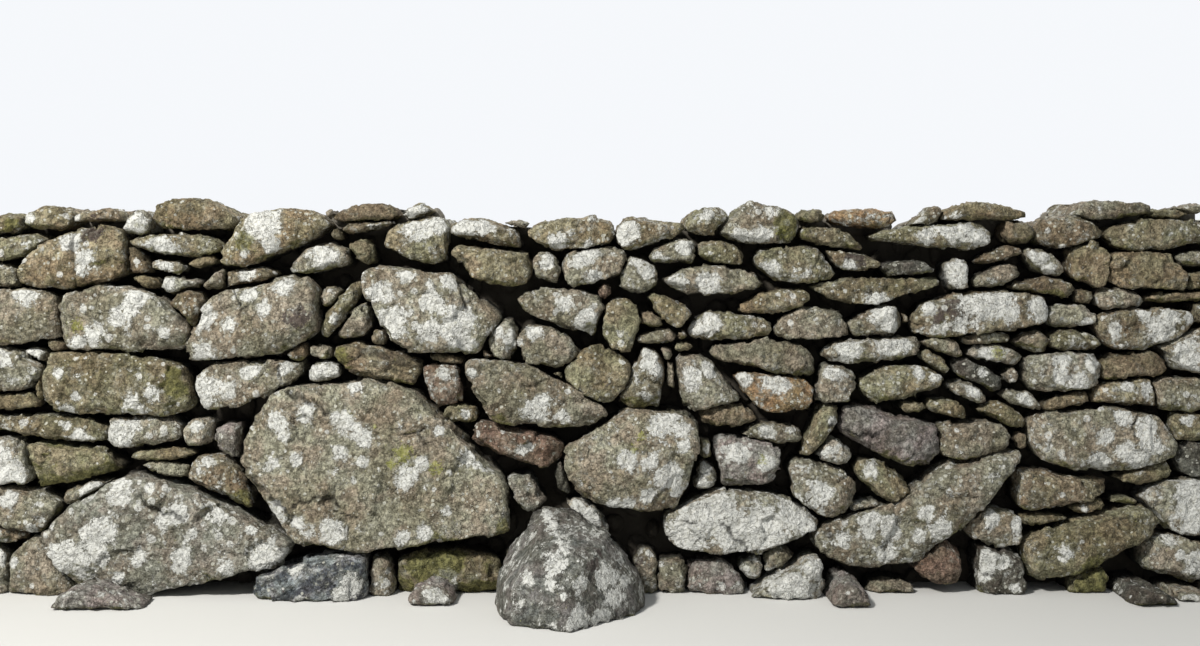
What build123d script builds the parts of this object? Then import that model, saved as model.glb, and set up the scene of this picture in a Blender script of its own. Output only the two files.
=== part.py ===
from build123d import *
import math
import os

os.makedirs("parts", exist_ok=True)

# A free-standing double-faced dry stone wall. X runs along the wall, the front face looks towards -Y
# and Z is up from the ground. The origin is the middle of the wall's foot. Sizes are millimetres.

# The wall as a whole: two faces of boulders that lean in towards each other over a rubble hearting.
wall_length = 5400
wall_height = 1500
base_thickness = 800
top_thickness = 500

# A face stone reaches from the hearting to the face. It keeps its full outline as far as the shoulder
# and is rounded from there to its nose, by a share of its lesser width up to a limit.
face_depth = 200
shoulder_depth = 180
nose_share = 0.22
nose_limit = 100
nose_outline = 0.75

# The plainer stones of the back face: corners softer than this many degrees are left out, and so are
# pinnings whose front is smaller than this area in square centimetres.
soft_corner = 36
least_back_area = 60

# The stones of the two wall ends: how far they stand proud of the mean face, the chamfer round their
# outer faces and the open joint between the two stones that share a long course.
head_proud = 25
head_chamfer = 24
head_joint = 8

# The boulder that leans against the foot of the front face.
leaning_height = 365

# Outlines are given in centimetres on the front elevation, along the wall from its left end and up from
# the ground, each one clockwise, for a wall of this length and height.
elevation_length = 540
elevation_height = 150

FRONT = -1
BACK = 1
LEFT = -1
RIGHT = 1

# The large boulders of the front face, each a piece of its own.
BOULDERS = {
    "great_boulder": ((127, 52), (127.5, 60), (141, 79.5), (146, 81.3), (160, 83.2), (178, 84.3),
        (188, 82.6), (196, 79.8), (220, 57.5), (231, 46.5), (234, 38), (234, 26), (178, 17.9),
        (150, 21.2)),
    "long_foot_slab": ((49.5, 23), (51.3, 27), (57, 31.8), (80, 46.3), (87, 47.3), (95, 45.3), (105, 42),
        (122, 34.6), (149, 20.3), (144.5, 13.2), (88, 0), (66, 0)),
    "white_foot_boulder": ((295.3, 26), (296.5, 31), (310, 38.3), (316, 40), (326, 40.4), (336, 39.6),
        (346, 36.2), (352.5, 32.4), (356.5, 28), (355.5, 25.6), (346, 21.2), (335, 17), (328, 16.3),
        (303, 17.2), (297, 20.5)),
    "slanting_boulder": ((354.8, 22.5), (357, 25.2), (371, 31), (390, 35), (395, 33.6), (400.8, 29.3),
        (406.5, 24), (401.6, 18.2), (394, 12.5), (379, 10.5), (370, 11.3), (362, 14.5), (356, 18.5)),
    "slanting_slab": ((392.5, 37), (396, 42), (402, 47.5), (410, 51), (433, 55.8), (437.5, 56),
        (437.5, 53), (433, 45.5), (425, 35.5), (416, 27.5), (408.5, 23.8)),
    "wedge_boulder": ((216, 91), (218.5, 92.8), (241, 90.3), (270, 74.4), (272.6, 71.9), (272.8, 70),
        (270.4, 67.6), (263, 65.6), (235, 66), (229, 67.4), (226, 70), (217, 87)),
    "brown_boulder": ((48, 76), (47.7, 84), (48.7, 92), (51, 94.6), (68, 95.2), (80, 94.6), (100, 91),
        (103.3, 88.5), (107.3, 79.5), (107.3, 76), (105.5, 72.5), (98, 70.6), (85, 70.3), (65, 71.2),
        (52, 73)),
    "shield_boulder": ((255.8, 53), (257, 56.8), (276.5, 70.3), (281, 72.6), (293, 72.4), (299, 71.8),
        (306, 69.8), (309.2, 66), (309, 55), (306.4, 46), (301, 33.9), (295, 32.8), (272, 35.2),
        (264, 38), (259, 43)),
    "lens_boulder": ((441, 60), (441, 68), (443, 70), (460, 72.3), (470, 73), (478, 72.6), (490, 70.8),
        (493, 69), (498.3, 59), (497.3, 54.8), (494, 52.6), (480, 48), (468, 47.8), (458, 49), (450, 51),
        (445, 54)),
    "dark_boulder": ((365.8, 66), (366.5, 70.3), (368, 72.8), (372, 73.4), (380, 72.2), (404.6, 66.2),
        (405, 55), (400, 51), (392, 50), (378, 56), (367, 62.5)),
    "right_foot_slab": ((437.6, 18.5), (439, 21.5), (449, 25), (480, 34.2), (486, 33.8), (490, 30),
        (491.3, 26.5), (487.5, 21.5), (465, 10), (455, 6.8), (446, 6), (440.5, 7)),
    "left_loaf": ((36.8, 126), (39.5, 132.5), (43, 136), (58, 143), (73, 145), (77, 144.6), (79.6, 139),
        (80.6, 127), (74, 124.2), (64, 121.8), (56, 120.6), (45, 121.6), (38, 123)),
}

# Footing stones that stand out from the foot of the front face, each with how far in millimetres.
FOOTINGS = (
    (((135.3, 0), (136, 8), (140, 10), (150, 13), (165, 16.4), (176, 16.8), (178.3, 15), (178.3, 0)), 150),
    (((179.5, 0), (180, 14.5), (184, 15), (186.5, 13), (188.5, 6), (188.5, 0)), 60),
    (((329, 0), (336, 6), (343, 10), (351, 14.5), (356, 15), (357.3, 12), (357.3, 0)), 130),
    (((358, 0), (361, 6), (366, 8.6), (371, 6), (374, 0)), 270),
    (((474, 0), (477, 5), (486, 5.5), (492, 0)), 240),
    (((494, 0), (494.6, 3.2), (503, 3.2), (507, 2), (508, 0)), 160),
)

# The base stones, which stand on the ground or close over it.
BASE = (
    ((23, 0), (23, 18), (31, 18), (34, 15.5), (35, 11), (35, 0)),
    ((35.8, 0), (36, 14.5), (43.5, 22.2), (48.5, 22.4), (64.8, 0)),
    ((190, 0), (190, 13), (196, 15.6), (204, 16.6), (214, 16.6), (223, 15.6), (229, 13), (231, 8),
     (231, 0)),
    ((232.5, 0), (233, 17), (240, 20.5), (262, 21.5), (276, 18.5), (281.6, 12), (282.6, 0)),
    ((285.8, 0), (284, 8), (283.8, 13), (286, 16.3), (289, 17), (292, 14.8), (293, 12), (292.4, 0)),
    ((293.4, 0), (293.6, 11.4), (299, 12.8), (303, 12.4), (304.4, 10), (303.6, 0)),
    ((304.6, 0), (305, 8.4), (309, 12.4), (317, 13.2), (320, 12.7), (324.4, 8.4), (328, 2), (328, 0)),
    ((325.2, 9.6), (326.4, 12.2), (330, 14.2), (334, 14.2), (334.8, 11), (334, 7.4), (331.6, 5.6),
     (328.4, 5.2)),
    ((335.6, 9), (335.6, 14), (337.5, 16.8), (341, 18.2), (345, 17), (347.3, 14.4), (346.4, 13.2),
     (337.4, 8.2)),
    ((393.3, 10.5), (405.5, 20.2), (407.5, 20.8), (414, 15), (413, 8.5), (411, 4), (404, 4), (397.5, 7.2)),
    ((420.5, 0), (420, 12), (420.4, 18), (424, 18.3), (433, 16.6), (437.2, 14.5), (438.2, 8), (438.2, 0)),
    ((376, 0), (378, 4), (388, 5), (394, 3), (395, 0)),
    ((456.5, 0), (458, 5.8), (469.5, 11), (471.5, 7), (471.5, 0)),
    ((485.5, 12), (486, 19.6), (492, 23.6), (525.5, 15.5), (525.5, 4.5), (504, 4.5), (487, 10)),
    ((509, 0), (509, 3.8), (525.5, 3.8), (525.5, 0)),
)

# The lower band, among the largest boulders.
LOWER = (
    ((15, 20), (15, 29.4), (22, 30), (38, 25), (42, 22.8), (40, 20.8), (34, 19.4)),
    ((23, 31.5), (23, 40), (33, 41.4), (40, 41.2), (47, 40.2), (53, 37.6), (55.2, 34.6), (54, 31.2),
     (47.6, 24), (43.8, 24)),
    ((56.3, 36.8), (57, 39.6), (68, 44), (75, 44.3), (62, 35.9), (59, 34.8)),
    ((15, 44), (15, 60.4), (33, 61.3), (38, 60.8), (40.6, 58), (43.6, 46.5), (42, 43.2)),
    ((42.2, 57), (43.2, 59.3), (48, 59.3), (72, 56.2), (78.8, 49), (77, 47.2), (57, 43.4), (47, 42.2),
     (44.8, 48)),
    ((106, 44.5), (106.5, 49), (108.8, 53), (113, 54.8), (120, 54.4), (124, 52), (126.6, 48.6),
     (131.5, 38), (131, 34.4), (126, 35.4)),
    ((115, 61), (117, 65), (121, 66.8), (126, 66.8), (126.2, 54), (124, 53.2), (119, 56.3)),
    ((233, 43), (235, 46), (242, 46.6), (248.5, 36.4), (243.2, 31.6), (240, 32.5), (236, 37)),
    ((251.8, 46), (253, 50), (254.5, 51.2), (258.3, 39.8), (257, 38.6), (254.3, 40)),
    ((256, 35.2), (260, 36.7), (264, 35.8), (268, 33.4), (271, 30), (273.4, 25), (272.4, 23.4),
     (266, 26.8)),
    ((307.6, 44), (309.6, 50), (311, 52.4), (316, 48.6), (317.3, 45), (316.5, 42), (313, 40.7),
     (307.8, 40.9)),
    ((310.2, 61), (314, 59.4), (314.6, 54), (312.6, 52.8), (310, 54)),
    ((316.3, 55), (316.4, 61.2), (320, 61.7), (330, 60.2), (341, 57.8), (342, 55), (341, 49),
     (338.5, 44.8), (332, 42.4), (322, 41.9), (319.3, 43.2)),
    ((345.6, 49), (348.5, 52.8), (354, 52.4), (368, 47.8), (371.5, 44), (372, 40.5), (369.3, 35),
     (366, 31), (362, 29.8), (357, 30.8), (352, 34.4), (347.5, 38.5)),
    ((371, 49.5), (373, 51.9), (380, 52.3), (384, 50.8), (393, 43.4), (393, 39.8), (391, 37.4),
     (388, 36.1), (385, 36.2), (379, 40), (374, 44.6)),
    ((370.7, 32), (370.3, 35.3), (376, 36.2), (380.6, 36.2), (381.8, 34.6), (381, 33.9)),
    ((414.5, 25.2), (421, 31), (425, 33.6), (429, 33.6), (436.6, 30.3), (437.2, 28), (437.2, 22),
     (435.5, 19.4), (430, 18.1), (425, 18.9), (420, 20.8)),
    ((435.6, 42), (436, 49), (440, 48.9), (471.5, 43.5), (472.5, 41), (471.5, 38.8), (455, 33.8),
     (444, 32.2), (438, 33), (436, 37.5)),
    ((438, 27.2), (438, 30.2), (445, 31), (452, 30.7), (456.5, 30), (456, 28.7), (444, 26.6), (439, 26.3)),
    ((457, 33.4), (464, 35.8), (470, 37), (471.3, 34.8), (470.5, 32.4), (464, 31.2), (460, 31.8)),
    ((474, 35.4), (476, 37.4), (481, 37.6), (484.5, 36), (484, 34.8)),
    ((485.8, 37.5), (489, 41), (497, 44.6), (506, 45), (516.5, 43.5), (516.5, 23.5), (503, 23.2),
     (497, 25), (492.8, 29)),
    ((436.2, 59.5), (437.6, 63), (440.2, 62), (440.2, 57.4), (438, 56.9)),
    ((475.5, 45), (484, 48.4), (495, 51.8), (498, 49.5), (498, 46), (494, 44), (486, 43), (480, 43.4)),
    ((499.6, 52), (500, 58), (505, 59), (525.5, 59), (525.5, 46), (505, 46.2), (501, 48.6)),
)

# The middle band.
MIDDLE = (
    ((23, 66.5), (23, 70), (55, 70), (62, 69.2), (73, 65.8), (73.6, 63), (72.6, 60), (66, 59.6),
     (55, 59.9), (46, 61)),
    ((15, 72.5), (15, 76.5), (42.6, 79), (45.6, 75), (44.5, 73), (38, 72.3)),
    ((23, 80.2), (23, 98), (30, 97.8), (36, 96.2), (46.4, 89.4), (46.4, 87.4), (42, 82), (38, 80.1)),
    ((38.6, 95.8), (41, 96.9), (46, 96.3), (48.5, 94.6), (48, 92.4), (46.5, 91.4)),
    ((44, 80), (45, 84.3), (46.8, 87), (47, 77.5), (45.8, 76), (44.4, 78)),
    ((48, 98.2), (49.2, 100), (53, 99.8), (55.4, 98), (55.6, 96.4), (52, 95.4), (49.8, 96.3)),
    ((74.3, 60.5), (74.2, 66), (75.7, 68.6), (80, 69.6), (98, 69.2), (102.4, 66.5), (103, 63),
     (101.6, 61), (95, 59.3), (80, 57), (76, 57.5)),
    ((103.5, 65), (109, 69.3), (112, 68.8), (116, 66.8), (114.2, 60.5), (113, 58.6), (110, 57.6),
     (105.5, 58.2), (103.8, 60.5)),
    ((83, 54), (84.5, 55.5), (100, 57), (107, 55.8), (108.2, 54.8), (104, 52.6), (94, 52), (86, 52.3)),
    ((87.5, 50), (89, 51.3), (95, 51.4), (105.5, 49.6), (105.5, 46), (103, 45.4), (96, 46.2), (91, 47.8)),
    ((108.4, 81), (108.7, 85), (110.5, 88), (115, 90), (127, 91.6), (150, 91.5), (152.2, 89.5),
     (151.6, 86.5), (145.5, 82.6), (134.5, 77.2), (127, 74.5), (118, 72.5), (113, 73), (110, 76)),
    ((143.8, 94), (145.6, 95.6), (149, 98), (151.5, 98.6), (153, 97), (153.4, 94), (150, 92.2),
     (146, 92.4)),
    ((152.8, 87), (154, 90), (157, 91.3), (162, 91.3), (165, 90), (166.4, 87.5), (165.5, 85.4),
     (162, 83.9), (156, 83.5), (153.4, 84.4)),
    ((154, 94), (154.6, 97.2), (159, 98), (162.4, 96.5), (162.8, 93), (158, 92)),
    ((163.4, 94), (165, 97.6), (173, 99.3), (185, 96.4), (198, 91.6), (198.2, 88), (196.4, 83.8),
     (194.8, 82), (172, 86.5), (167, 90)),
    ((199.2, 86), (199.6, 89), (202, 89.8), (211, 89.8), (213, 88), (215, 80), (214.5, 76), (205, 73.7),
     (202, 76.2)),
    ((201.3, 93.9), (204, 94.8), (214, 93.3), (215.5, 92), (213, 90.5), (207, 90.8), (203, 92)),
    ((223, 94), (223.2, 95.8), (225, 95.4), (227.4, 93.3), (224, 92.9)),
    ((207.9, 70.4), (208.8, 72.5), (211, 74), (216, 74.4), (220, 73), (221.5, 70.4), (220.8, 68),
     (217, 67), (211, 67.4)),
    ((251.6, 86.3), (254, 86.8), (255.2, 85.5), (254.8, 84.2)),
    ((255.9, 87), (257.3, 90), (266.5, 97.2), (270, 97.5), (280, 92.2), (282.5, 90), (281.8, 86.5),
     (278.3, 79.8), (274.8, 75.6), (271, 75.4), (260, 80.7), (256.8, 84)),
    ((219.8, 62), (221, 65.6), (222.5, 67.6), (251, 61.4), (255, 59), (255.6, 57), (253, 52.7), (249, 50.2),
     (244, 50), (238, 51.5), (228, 55.5), (221.4, 59)),
    ((277.4, 75), (287.2, 96.8), (289, 97.2), (292, 96), (295, 92.6), (295.8, 90), (295.6, 85),
     (293.2, 73.6), (282, 73.6)),
    ((293.6, 96.6), (295, 97.3), (298, 95.8), (299.3, 93.8), (298, 92), (296.4, 92)),
    ((300, 96.8), (301, 98.4), (304, 98.8), (307, 97.8), (307, 96.2), (302, 95.4)),
    ((300.4, 92.5), (303, 94.3), (307, 94.8), (311, 93.6), (315, 90.5), (326.3, 77.5), (325.3, 75.7),
     (305.5, 71.7), (303.5, 74), (301.5, 82)),
    ((297, 82), (296.9, 88), (297.5, 90.5), (299, 90.6), (299.6, 86), (299.6, 81)),
    ((314, 95), (316.5, 97.3), (338, 100.6), (346, 99.2), (353, 96.2), (355.4, 92), (355.9, 87),
     (354, 85.5), (340, 87.3), (325, 90), (316.5, 92.4)),
    ((323.2, 85.5), (325.5, 86.8), (346, 85.6), (352, 84.5), (355.4, 81), (355.4, 76.5), (353, 73.7),
     (348, 71.8), (342, 71.2), (336, 71.7), (332.5, 73.7)),
    ((310, 70.5), (312, 72.3), (322, 74.6), (327, 74.6), (332, 69.5), (332.4, 67.7), (326, 66),
     (320, 65.4), (315, 65.7), (311, 67.8)),
    ((327, 62.4), (330, 65.3), (334, 67.1), (340, 67), (347, 65.8), (350.3, 63.5), (350.5, 61),
     (348, 59.2), (342, 58.6), (330, 61)),
    ((350.4, 54.5), (351, 58), (358, 73), (360, 74.6), (363.5, 73.8), (365.4, 71.8), (365, 68),
     (358, 58), (354, 54.2)),
    ((356.4, 54.2), (361.8, 61), (363, 61.5), (370.3, 56), (369.8, 52.2), (368, 50.6), (365, 50.1),
     (361, 51.3)),
    ((356.5, 77), (358.5, 87), (360.5, 89.8), (363, 90), (367, 89.1), (371, 87.3), (373, 85),
     (371.5, 81.5), (368, 75.6), (357, 75.6)),
    ((358.9, 94), (360, 96.5), (364, 98.5), (371, 100), (390, 101.3), (396.5, 101), (399, 99.3),
     (398.7, 96.8), (396, 94.2), (388, 92.5), (378, 91.2), (368, 90.8), (362, 91.3)),
    ((399.7, 99), (402, 100.4), (407, 100.8), (411, 100.1), (414, 97.5), (415, 94), (413.5, 92.9),
     (401.5, 97)),
    ((398.7, 94.4), (402.2, 96), (408, 91.3), (409.6, 89), (408.3, 86.6), (399.4, 92)),
    ((374, 82), (375, 84.8), (385, 89.3), (395, 90), (401, 88.9), (406, 86), (406.8, 82.5),
     (405.3, 80.9), (392, 76.6), (385, 75.3), (379, 75.3), (376, 77)),
    ((411.5, 89.4), (413.5, 92), (417, 92.3), (420, 91.3), (431, 85.2), (431.5, 82.4), (429.8, 80.6),
     (426, 80), (412.5, 86.8)),
    ((410.4, 80.5), (411, 83), (415, 83.6), (418.6, 82.6), (422, 80.6), (424.6, 77), (424, 75.4), (421, 75),
     (413, 78.2)),
    ((417.4, 94), (418.5, 96.5), (423, 98), (430, 98.1), (436, 96), (439.5, 93.8), (439.5, 91.6),
     (436, 90.5), (425, 91.7), (418.8, 93)),
    ((415, 99), (415, 101.3), (420, 102.1), (432, 103.2), (434.6, 101.5), (434, 99), (418, 98.3)),
    ((390.4, 73.3), (392, 75.3), (396, 75.6), (399.8, 74.5), (400.3, 72.5), (398, 71.3), (393, 71.1)),
    ((400.8, 74), (402, 76.3), (408, 76.5), (413, 75), (416, 72.5), (416.6, 69.7), (415, 68.8),
     (412, 69), (401.5, 72)),
    ((405.6, 65.5), (410, 66.8), (424, 67.9), (430, 66.3), (433, 62.5), (433.4, 58.5), (432, 56.2),
     (415, 53.2), (408, 53.6), (405.8, 56)),
    ((421.5, 72), (424, 74), (427, 75.5), (430, 75.8), (438.5, 70.8), (440, 68), (439.7, 65.3),
     (438, 64.4), (434.5, 65)),
    ((430.7, 78), (433, 79.8), (440, 79.3), (443, 77.8), (446, 75.3), (447, 73.2), (446, 72),
     (440, 73.2), (434, 75.4)),
    ((432.2, 86), (434, 88.3), (436.4, 88.5), (437.6, 86), (436.5, 83), (434, 82.5), (432.7, 84)),
    ((440.3, 91), (443, 93), (448, 94.3), (460, 94.9), (468, 94.5), (469.8, 91), (469.8, 86), (469, 83),
     (466, 80.8), (448, 79.6), (443.5, 80.9), (441, 84)),
    ((470.6, 91.6), (476, 93.8), (490, 95.8), (494, 94.4), (496.8, 92), (497.3, 87.5), (496, 86.3),
     (474, 84.2), (471, 85)),
    ((448, 73.5), (449, 75.5), (461, 78.8), (465, 78.8), (466.2, 77), (466.2, 75.2), (455, 72.7),
     (449, 71.9)),
    ((466.9, 78.5), (470, 82.2), (476, 83.4), (486, 84.4), (489.6, 83.8), (492, 76), (491.3, 73.3),
     (467.4, 75.4)),
    ((491, 83), (497, 84.8), (525.5, 84.5), (525.5, 72), (500, 72), (494, 72.6), (492.6, 76)),
    ((498.2, 66), (499.4, 70.6), (505, 71.3), (516.5, 71), (516.5, 60), (504, 59.8), (499.4, 61)),
    ((494.8, 97), (498, 99.2), (508, 104.2), (516.5, 105.4), (516.5, 86.5), (505, 87.4), (501, 88.8),
     (497.8, 92.5)),
)

# The upper band, under the top stones.
UPPER = (
    ((15, 102), (15, 119.5), (38, 120.4), (49, 119.2), (52.4, 117), (54.6, 101.5), (38, 98.9), (30, 98.8)),
    ((53.9, 113), (57, 117.5), (65, 120.8), (70, 122.2), (80, 121.7), (88, 119.2), (95, 115.2),
     (102, 109), (106, 103.6), (104.8, 99), (103.2, 95.8), (66, 96.2), (58, 97.3), (56, 100.5),
     (54.8, 106)),
    ((23, 122), (23, 130.4), (32, 130.4), (35, 128.5), (36.2, 124.2), (35.8, 121.5), (30, 121)),
    ((80.6, 137), (84.5, 135.3), (88, 131), (89.4, 127.2), (82, 126.7), (81.1, 129)),
    ((82, 125), (86, 126), (91, 124.5), (93, 122.2), (92, 120.8), (87, 121.2)),
    ((89.2, 131), (95, 132.3), (102, 130.4), (103.4, 129.4), (101, 126.4), (95, 127), (91, 128.3)),
    ((104, 130.6), (108, 133), (113, 133.8), (116.4, 132), (115, 130.2), (109, 128.9), (105, 129.2)),
    ((93.8, 121), (95.4, 125.6), (107, 124), (109.6, 122.9), (107, 121.2), (97, 118.4)),
    ((97, 115), (100, 118.7), (105, 119.8), (109, 118.6), (111.8, 115), (107, 104.6)),
    ((110.8, 111.5), (115, 116.4), (120, 119.6), (147, 125.6), (152.8, 124.6), (157, 119.5),
     (157.5, 108), (156.4, 103.4), (141.6, 94), (112, 92.5), (105.5, 93.2), (104.4, 96)),
    ((110.7, 122), (114, 126), (117.6, 128.4), (118.8, 128.2), (118.6, 120.6), (112, 120.2)),
    ((119.6, 127.2), (134, 129), (139, 127.7), (140.6, 125.9), (135, 124), (119.8, 121.2)),
    ((145, 129), (151, 135.4), (156, 138.2), (161, 139.2), (168, 136), (169.8, 130.6), (155, 126.7),
     (146, 126.8)),
    ((158.2, 119), (160, 121), (164, 121), (166.2, 119.4), (164, 116.2), (160.2, 112.8), (158.5, 114)),
    ((158.2, 105), (160.6, 110.5), (170, 121.8), (174.2, 124), (174.8, 120), (171, 113.5), (161, 101.3),
     (158.4, 101.7)),
    ((165, 103.4), (172, 113.4), (176, 115.4), (178, 111), (178, 105.5), (175, 101.8), (166.5, 100.6)),
    ((178.5, 101), (180, 104.2), (183, 104), (184.8, 100.4), (183, 97.8), (179, 98.8)),
    ((174.8, 126), (178, 129.3), (183, 129.3), (210, 126.3), (216, 121.7), (230.3, 109.4), (221, 96),
     (213, 95.6), (195, 96), (190, 97.5), (186.2, 100), (175.5, 121)),
    ((225.2, 99), (225.6, 101.3), (228.9, 106), (231.2, 108.6), (234.6, 108.2), (237, 104), (237, 99),
     (234, 92.6), (231, 92.2), (228, 93.6)),
    ((237.6, 98), (237.8, 103), (241, 106), (247, 106), (253, 103.7), (258, 100), (262.3, 95),
     (261, 93.6), (256, 90.4), (252, 89), (246, 89.8), (241, 91.8), (238.2, 94)),
    ((210.8, 135), (214, 137.2), (234, 135.8), (241, 134.8), (242.5, 131), (242.5, 126), (240, 122.2),
     (236, 121.5), (225, 122.7), (219, 125.2), (214.6, 129.6)),
    ((243.3, 132.5), (246, 135.1), (249.6, 134.8), (253, 132), (254.2, 127), (252.8, 122.4),
     (248, 123.7), (243.6, 126)),
    ((255, 130), (256.2, 134.4), (261, 136), (268, 137.2), (275, 137.4), (280.6, 134.2), (278.8, 128.8),
     (277.4, 126.5), (264, 121.9), (259, 121.6), (255.6, 125)),
    ((282.3, 133.6), (287, 132.2), (291, 129.2), (293.8, 124.5), (293.2, 121.7), (288, 119.7),
     (283, 119), (278.4, 122), (278, 125.3)),
    ((237.2, 116), (240, 119), (247, 120.6), (255, 120.6), (264, 119.3), (268.8, 118), (271, 112),
     (269.2, 106), (266.5, 101.8), (245, 109.2), (239, 112)),
    ((269.2, 120), (272, 122.3), (274, 121.3), (274.3, 118.5), (272, 116.5), (270.4, 117.5)),
    ((271.7, 110), (272.7, 113), (275, 116.7), (281, 116.3), (284.8, 113.2), (285.6, 108), (283, 98),
     (281.5, 95), (279, 95), (274, 97.7), (271.3, 102)),
    ((284.4, 100.5), (288, 102.3), (293, 104), (298, 104), (300.6, 101.5), (299, 99), (292, 98.4),
     (286, 98.6)),
    ((286.4, 106.6), (286.4, 110.6), (291, 111), (294.6, 108), (295.6, 105.7), (290, 105.3)),
    ((289.2, 117.3), (291.5, 119), (295, 117.7), (306, 112.2), (307, 110.5), (304.6, 107.7), (301, 105),
     (297, 106.8), (292.3, 112)),
    ((301.2, 103), (303.5, 104), (304.8, 101.2), (302.4, 100.4)),
    ((289.5, 133.4), (292, 136.3), (300, 140.2), (305, 140.2), (308.4, 139), (308.6, 134), (307, 131),
     (292, 131)),
    ((309.3, 136.6), (311, 139.1), (316, 139.8), (321, 139.3), (325, 137.3), (328, 134), (327.5, 131),
     (325, 130.2), (316, 131), (311, 132.7)),
    ((331.7, 133), (334, 135.6), (346, 137.6), (352, 137.8), (357.6, 136), (362.6, 131), (364.3, 127),
     (362.7, 124.7), (350, 123), (344, 123), (338, 125.7), (333, 129.4)),
    ((361, 135.6), (370, 135.3), (378, 133.8), (383, 130.5), (380, 128.7), (372, 127.3), (366.4, 128.7),
     (363.6, 131)),
    ((295.6, 124), (304, 128.3), (309, 129.6), (318, 129.6), (326, 128.3), (332, 126.3), (335.3, 122),
     (333, 120.5), (320, 118.7), (306, 118.2), (299, 120.6)),
    ((305.6, 103), (308, 107.7), (312, 110.6), (318, 111), (334, 109), (338.4, 106.8), (338.8, 104),
     (337, 101.9), (328, 100.2), (318, 99.7), (308, 100.7)),
    ((325.3, 112), (330, 115.7), (335, 118.7), (342, 120), (348, 120.3), (353.3, 119.7), (354, 116),
     (350, 113.2), (344, 111), (328, 110.5)),
    ((339.8, 104), (342, 107.7), (346, 110.2), (352, 113), (357, 113), (366, 110.8), (369, 106),
     (369.6, 101.8), (360, 100.7), (347, 100.4), (340, 101.5)),
    ((354.6, 121.5), (358, 122.7), (372, 124.7), (405.6, 125), (407.6, 123.3), (405, 121.7),
     (381, 114.4), (373, 114.4), (364, 116.2), (357.4, 119)),
    ((383.7, 128.6), (385, 130.8), (396, 131.8), (400, 131.3), (405.6, 126.8), (386, 125.4)),
    ((408.9, 130.3), (414.5, 132.7), (417, 131.7), (417.8, 128), (418.2, 121), (415, 120.1),
     (411.7, 120.2), (409.3, 125)),
    ((421, 131), (424, 133.8), (434, 137.7), (439, 137.2), (439.3, 134.7), (433, 132), (427, 130.3)),
    ((419.7, 123.5), (429, 129.3), (435, 130.3), (438, 129.3), (438.8, 126.5), (436, 123.8),
     (430, 121.3), (421, 120.9)),
    ((370.4, 106.5), (374, 109.3), (379, 112.3), (384, 113.7), (388, 113.2), (390.8, 110), (391.2, 105),
     (389, 102.2), (380, 101.7), (372, 102), (370.5, 104)),
    ((391.7, 110.6), (393.4, 109.2), (393.8, 106.6), (392.2, 107)),
    ((395, 105), (395.7, 110), (400, 114.3), (411, 118), (430, 119.8), (444, 118.4), (448, 117),
     (449, 110.5), (448, 107.4), (440, 105), (408, 101.5), (397, 102.6)),
    ((459, 136), (462, 138), (466, 139.3), (470, 139.3), (473, 136.3), (474.2, 133), (473.6, 126),
     (472.3, 121.9), (470, 121.2), (460.4, 125), (458.7, 128)),
    ((441.2, 135), (443, 136.8), (447, 136), (452, 134), (455, 131.8), (456.3, 127.5), (454.6, 125.5),
     (450, 126.2), (445, 128.2), (442, 131.5)),
    ((474.8, 131), (477, 134.3), (481, 135.7), (499, 134), (504.8, 127), (505.3, 121.7), (503, 120.1),
     (479, 121.6), (474, 123.5)),
    ((501.9, 133.4), (505, 135), (510, 135.5), (525.5, 134.8), (525.5, 130), (508, 129.2), (504.4, 130)),
    ((505.9, 123), (507, 126.6), (516.5, 128), (516.5, 120.6), (507, 120.4)),
    ((434.3, 121), (437, 123.3), (450, 125), (455, 124.3), (459, 122.5), (460.8, 121), (460.6, 117.7),
     (456, 117.2), (435, 120.3)),
    ((461.6, 120), (465, 120.2), (467.2, 119.3), (467.2, 114.8), (462, 114.8)),
    ((469, 117), (471, 119.8), (474, 120.8), (481, 120.8), (486, 118.9), (488.6, 116.5), (486.7, 113.7),
     (473, 111.9), (470, 113.7)),
    ((489.6, 117.3), (495, 118.7), (512, 119.2), (516.5, 118.5), (516.5, 116.2), (496, 115), (490, 115.8)),
    ((449.7, 108), (450.2, 112), (454, 113.8), (462, 114), (467, 112.3), (469, 109.5), (467.7, 106),
     (460, 105.2), (452, 105.5)),
    ((468.4, 104.8), (471, 109), (477, 111.6), (485, 112.6), (503, 112.2), (507, 110.3), (507.3, 106.5),
     (503, 102.7), (497, 99.5), (490, 96.9), (477, 96), (473.4, 97.5), (470.9, 100.5)),
    ((508.4, 107), (508.2, 112), (508.6, 114.6), (525.5, 115), (525.5, 106.8)),
    ((436, 98.8), (440, 102.3), (445, 103.6), (449, 101.8), (449.9, 99), (449, 95.6), (446, 95.4),
     (440, 96.4)),
    ((450.6, 102), (455, 104), (461, 104.5), (467, 102.5), (470, 99.6), (469, 96.4), (463, 95.9),
     (455, 96), (450.8, 97.5)),
)

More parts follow.
